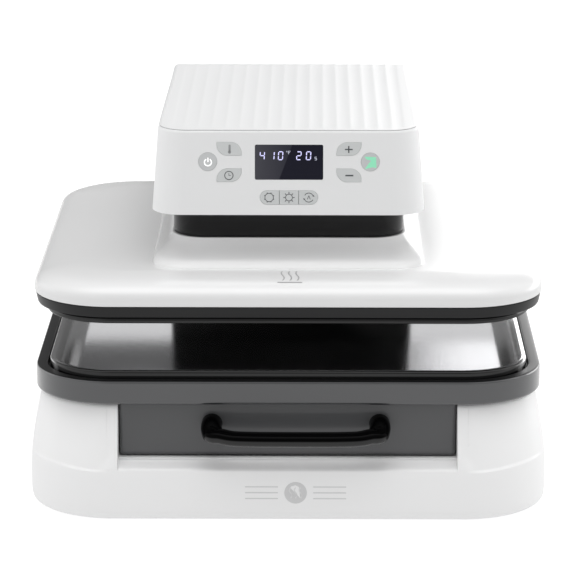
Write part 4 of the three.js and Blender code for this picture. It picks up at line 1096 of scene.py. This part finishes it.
def base():
    back, front = BASE_HI[1] + (BASE_HI[0] - BASE_WIDEST), BASE_LO[1]
    straight = BASE_HI[0] - BASE_RADIUS
    front_xs = [-straight + 2 * straight * i / 46 for i in range(47)]
    front_xs = [x for x in front_xs if abs(abs(x) - BAY["x"]) > 2.0]
    web_xs = (BAY["x"], 144.7, 147.2, 149.0, 150.8, 152.4)
    front_xs = sorted(front_xs + [side * x for side in (-1, 1) for x in web_xs])
    openings = [rear_opening("power_inlet", 3.0), rear_opening("rocker_bezel", 2.0)]
    back_xs = sorted({x for o in openings for x in o[:2]}, reverse=True)
    turns = [i / 30 for i in range(31)]
    quarter = [i / 16 * pi / 2 for i in range(17)]
    rings = []
    for z, extra in [(z, 0.0) for z in BASE_LEVELS] + DECK_EDGE:
        half = base_half(min(z, 99)) - extra
        shrink = BASE_HI[0] - half
        y_front, y_back = front + shrink, back - shrink
        r = BASE_RADIUS - extra
        cx, cy, cy_back = half - r, y_front + r, y_back - r
        # Front, then anticlockwise from above: right corner, back right, back, back left, left corner.
        ring = [(x, y_front + base_recess(x, 0, z), z) for x in front_xs]
        ring += base_corner(cx, cy, z, r, [-pi / 2 + t * pi / 2 for t in turns[1:]], turns[1:])
        ring += base_corner(cx, cy_back, z, r, quarter)
        ring += [(x, y_back, z) for x in back_xs]
        ring += base_corner(-cx, cy_back, z, r, [pi / 2 + a for a in quarter])
        ring += base_corner(-cx, cy, z, r, [pi + t * pi / 2 for t in turns[:-1]], [1 - t for t in turns[:-1]])
        rings.append(ring)
    n = len(rings[0])
    verts = [v for ring in rings for v in ring]
    faces = []
    for face in tube(len(rings), n):
        a, b, upper = verts[face[0]], verts[face[1]], verts[face[3]]
        x_mid, z_mid = (a[0] + b[0]) / 2, (a[2] + upper[2]) / 2
        in_bay = face[0] % n < len(front_xs) - 1 and abs(x_mid) < BAY["x"] and z_mid > BAY["z"]
        in_back = a[1] > back - 12 and any(o[0] < x_mid < o[1] and o[2] < z_mid < o[3] for o in openings)
        if not in_bay and not in_back:
            faces.append(face)
    # The deck, with the drawer bay left open.
    keep = [v for i, v in enumerate(rings[-1]) if i >= len(front_xs) or abs(v[0]) >= BAY["x"] - 0.01]
    at = [i for i, v in enumerate(keep) if abs(v[0] - BAY["x"]) < 0.01 and v[1] < -150][0]
    rim = [v[:2] for v in keep[at:] + keep[:at]] + [(-BAY["x"], BAY["back"]), (BAY["x"], BAY["back"])]
    points, kept = triangulated(rim, loop_edges(len(rim)), lambda c: inside(c, rim))
    start = len(verts)
    verts += [(p.x, p.y, BASE_HI[2]) for p in points]
    faces += [tuple(start + i for i in face) for face in kept]
    solidify(piece("base_skin", verts, faces, BASE_WHITE, "base", ["base_shell"], "white_gloss"), BASE_WALL)
    bay_inside()


def bay_inside():
    """Floor and walls of the drawer bay; the walls' front edges follow the leaning front."""
    x, back, z0, z1 = BAY["x"] + 0.35, BAY["back"], BAY["z"] - 0.3, BASE_HI[2] - 2.7
    floor_front, wall_low, wall_high = (BASE_LO[1] + d for d in (12.0, 6.5, 16.5))
    verts = [(-x, floor_front, z0), (x, floor_front, z0), (x, back, z0), (-x, back, z0),
             (-x, wall_high, z1), (x, wall_high, z1), (x, back, z1), (-x, back, z1),
             (-x, wall_low, z0 + 0.1), (x, wall_low, z0 + 0.1)]
    faces = [(0, 1, 2, 3), (1, 9, 5, 6, 2), (2, 6, 7, 3), (3, 7, 4, 8, 0)]
    obj = piece("drawer_bay_lining", verts, faces, WHITE_SATIN, "base", slot="white_gloss")
    solidify(obj, LINING_WALL, offset=1.0)


# ------------------------------------------------------------------------------------------
# Generic marks printed on the white mouldings.
def skirt_point(u, v, w):
    return u, BASE_LO[1] + BASE_HI[0] - base_half(v) - w, v


def crown_point(u, v, w):
    """A point over the front of the platen cover: v is the distance in from its edge."""
    slope = crown_height(v + 0.5) - crown_height(v - 0.5)
    lift = Vector((0, -slope, 1)).normalized() * w
    return u, SHELL_LO[1] + v + lift.y, SHELL_LO[2] + crown_height(v) + lift.z


def marks():
    """A disc with waves between bars on the base, and three rising waves over a bar on the platen cover."""
    z, middle = 28.8, 7.0
    slot = "white_gloss"
    bars = [bar(middle + side * 29.0, z + row * 5.2, 14.0, 0.45) for side in (-1, 1) for row in (-1, 0, 1)]
    plates("mark_disc", [circle(middle, z, 9.6, 56)], skirt_point, -0.12, 0.06, MARK_GREY, "base", slot)
    plates("mark_bars", bars, skirt_point, -0.12, 0.06, MARK_GREY, "base", slot)
    waves = []
    for k in (-1, 0, 1):
        waves += stroke([(middle + k * 4.2 + 1.1 * sin(t / 14 * 2 * pi), z - 4.6 + t / 14 * 9.2)
                         for t in range(15)], 1.0)
    plates("mark_waves", waves, skirt_point, -0.12, 0.12, WHITE, "base", slot)
    middle = 1.9
    heat = [bar(middle, 16.5, 10.5, 1.1)]
    for k in (-1, 0, 1):
        wave = [(middle + k * 6.2 + 1.3 * sin(t / 16 * 2 * pi), 20.5 + t / 16 * 26.0) for t in range(17)]
        heat += [[(a[0] - 0.55, a[1]), (a[0] + 0.55, a[1]), (b[0] + 0.55, b[1]), (b[0] - 0.55, b[1])]
                 for a, b in zip(wave, wave[1:])]
    plates("mark_heat", heat, crown_point, -0.15, 0.05, MARK_DARK, "platen", slot)


# ------------------------------------------------------------------------------------------
# CAD nodes that stay: their materials.
STAY = (
    (STEEL, "base_plate outer_rail_left outer_rail_right inner_rail_left inner_rail_right press_frame "
            "gearmotor motor_pinion pressure_plate nut_tower handle_screw_left handle_screw_right"),
    (STEEL_ROUND, "thrust_bearing lead_screw guide_rod_1 guide_rod_2 guide_rod_3 guide_rod_4"),
    (BRASS, "screw_gear screw_nut guide_bush_1 guide_bush_2 guide_bush_3 guide_bush_4"),
    (RUBBER, "foot_front_left foot_front_right foot_back_left foot_back_right"),
    (TRIM_BLACK, "power_inlet rocker_bezel display_module"),
    (WHITE_SATIN, "head_underside rear_panel"),
    (HANDLE_BLACK, "power_rocker"), (BOARD, "control_board"), (PLATE_FACE, "heater_plate"),
    (WOOL, "insulation"), (ALUMINIUM, "mat_plate"), (DRAWER_GREY, "drawer_carriage"),
)


def dress_nodes():
    for material, names in STAY:
        for name in names.split():
            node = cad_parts[name]
            node.data.materials.clear()
            node.data.materials.append(material)
            bevel(node)


# ------------------------------------------------------------------------------------------
# Studio.
# How bright the surroundings are towards each side, as the object sees them. A lobe is
# (weight, direction, cosine where it starts, cosine where it is full).
SKY = {
    "above": (0.62, (0, 0, 1), 0.3, 1.0),
    "overhead": (2.0, (0, 0, 1), 0.8, 0.98),
    "left": (0.9, (-0.97, -0.2, 0), 0.2, 0.95),
    "front_high": (0.08, (0.1, -0.76, 0.64), 0.5, 0.98),
    "front_right": (0.42, (0.72, -0.5, 0.48), 0.7, 0.98),
    "front_low": (0.36, (0.05, -0.99, 0.12), 0.6, 0.98),
    "left_low": (0.5, (-0.9, 0.43, 0.05), 0.85, 0.98),
    "right_high": (0.6, (0.92, 0.15, 0.36), 0.6, 0.95),
    "behind": (0.2, (0, 1, 0), 0.3, 0.9),
}
# The bright screen behind and to the right: tangent of the angle off straight back where it starts and
# is full, where it ends, and the height where it stops.
SCREEN = {"weight": 2.5, "start": 0.028, "full": 0.046, "end": 2.4, "top": 0.31}
BACKDROP_SEEN = 1.05
FLOOR = {"half": 6.0, "seen": 0.95, "glow": 0.7, "colour": 0.22}
UNDER_HEAD = {"width": 0.222, "depth": 0.036, "power": 0.014}
CAMERA = {"x": 22.55, "distance": 2780.58, "z": 863.19, "down": 14.354, "turn": 0.493, "focal": 3155.2 / 576}


def area_light(name, location, target, size, power):
    data = bpy.data.lights.new(name, "AREA")
    data.shape = "RECTANGLE"
    data.size, data.size_y = size
    data.energy = power
    obj = new_object(name, data)
    obj.location = location
    obj.rotation_euler = (Vector(target) - Vector(location)).to_track_quat("-Z", "Y").to_euler()


def camera_only(tree, seen, unseen):
    """A value that differs between what the camera sees directly and what lights or mirrors the object."""
    return spread(tree, add_node(tree, "LightPath", "Is Camera Ray"), unseen, seen)


def sky(tree):
    """Brightness of the surroundings by direction."""
    direction = add_node(tree, "TexCoord", "Generated")
    total = 0.0
    for weight, axis, start, full in SKY.values():
        cosine = add_node(tree, "VectorMath", "Value", {0: direction, 1: axis}, operation="DOT_PRODUCT")
        total = arithmetic(tree, "MULTIPLY_ADD", ramp_between(tree, cosine, start, full), weight, total)
    x, y, z = (split(tree, direction, axis) for axis in "XYZ")
    tangent = arithmetic(tree, "DIVIDE", x, y)
    screen = ramp_between(tree, tangent, SCREEN["start"], SCREEN["full"])
    for value, start, full in ((tangent, SCREEN["end"] * 1.3, SCREEN["end"]), (y, 0.0, 0.1),
                               (z, SCREEN["top"] * 1.1, SCREEN["top"])):
        screen = arithmetic(tree, "MULTIPLY", screen, ramp_between(tree, value, start, full))
    return arithmetic(tree, "MULTIPLY_ADD", screen, SCREEN["weight"], total)


def studio():
    s = FLOOR["half"]
    mesh = bpy.data.meshes.new("studio_floor")
    mesh.from_pydata([(-s, -s, 0), (s, -s, 0), (s, s, 0), (-s, s, 0)], [], [(0, 1, 2, 3)])
    material, tree, bsdf = node_material("studio_floor")
    feed(tree, bsdf, {
        "Roughness": spread(tree, noise(tree, 3.0), 0.85, 0.95),
        "Base Color": (*[FLOOR["colour"]] * 3, 1),
        "Specular IOR Level": 0.0,
        "Emission Color": (1, 1, 1, 1),
        "Emission Strength": camera_only(tree, FLOOR["seen"], FLOOR["glow"]),
    })
    mesh.materials.append(material)
    new_object("studio_floor", mesh)
    world = bpy.data.worlds.new("studio_world")
    bpy.context.scene.world = world
    world.use_nodes = True
    tree = world.node_tree
    feed(tree, tree.nodes["Background"],
         {"Color": (1, 1, 1, 1), "Strength": camera_only(tree, BACKDROP_SEEN, sky(tree))})
    under = (0, (HEAD_LO[1] + SLEEVE_LO[1]) / 2 * MM - 0.004, (UNDER_LO[2] - 1.5) * MM)
    area_light("fill_under_head", under, (under[0], under[1], 0), (UNDER_HEAD["width"], UNDER_HEAD["depth"]),
               UNDER_HEAD["power"])
    area_light("key_right", (2.1, 0.1, 0.9), (0, 0, 0.2), (1.2, 1.4), 3)
    view = bpy.context.scene.view_settings
    view.view_transform, view.look, view.exposure = "Standard", "None", 0.0


def camera():
    data = bpy.data.cameras.new("camera")
    data.sensor_width = 36.0
    data.lens = CAMERA["focal"] * data.sensor_width
    data.clip_end = 50.0
    obj = new_object("camera", data)
    middle_y = (SHELL_LO[1] + SHELL_HI[1]) / 2
    obj.location = (CAMERA["x"] * MM, (middle_y - CAMERA["distance"]) * MM, CAMERA["z"] * MM)
    obj.rotation_euler = (radians(90 - CAMERA["down"]), 0, radians(CAMERA["turn"]))
    bpy.context.scene.camera = obj


for build in (platen_cover, platen_under, sleeve, tray, mat, drawer_front, handle, head, column_shade_plate, keys,
              display, base, marks, dress_nodes, studio, camera):
    build()
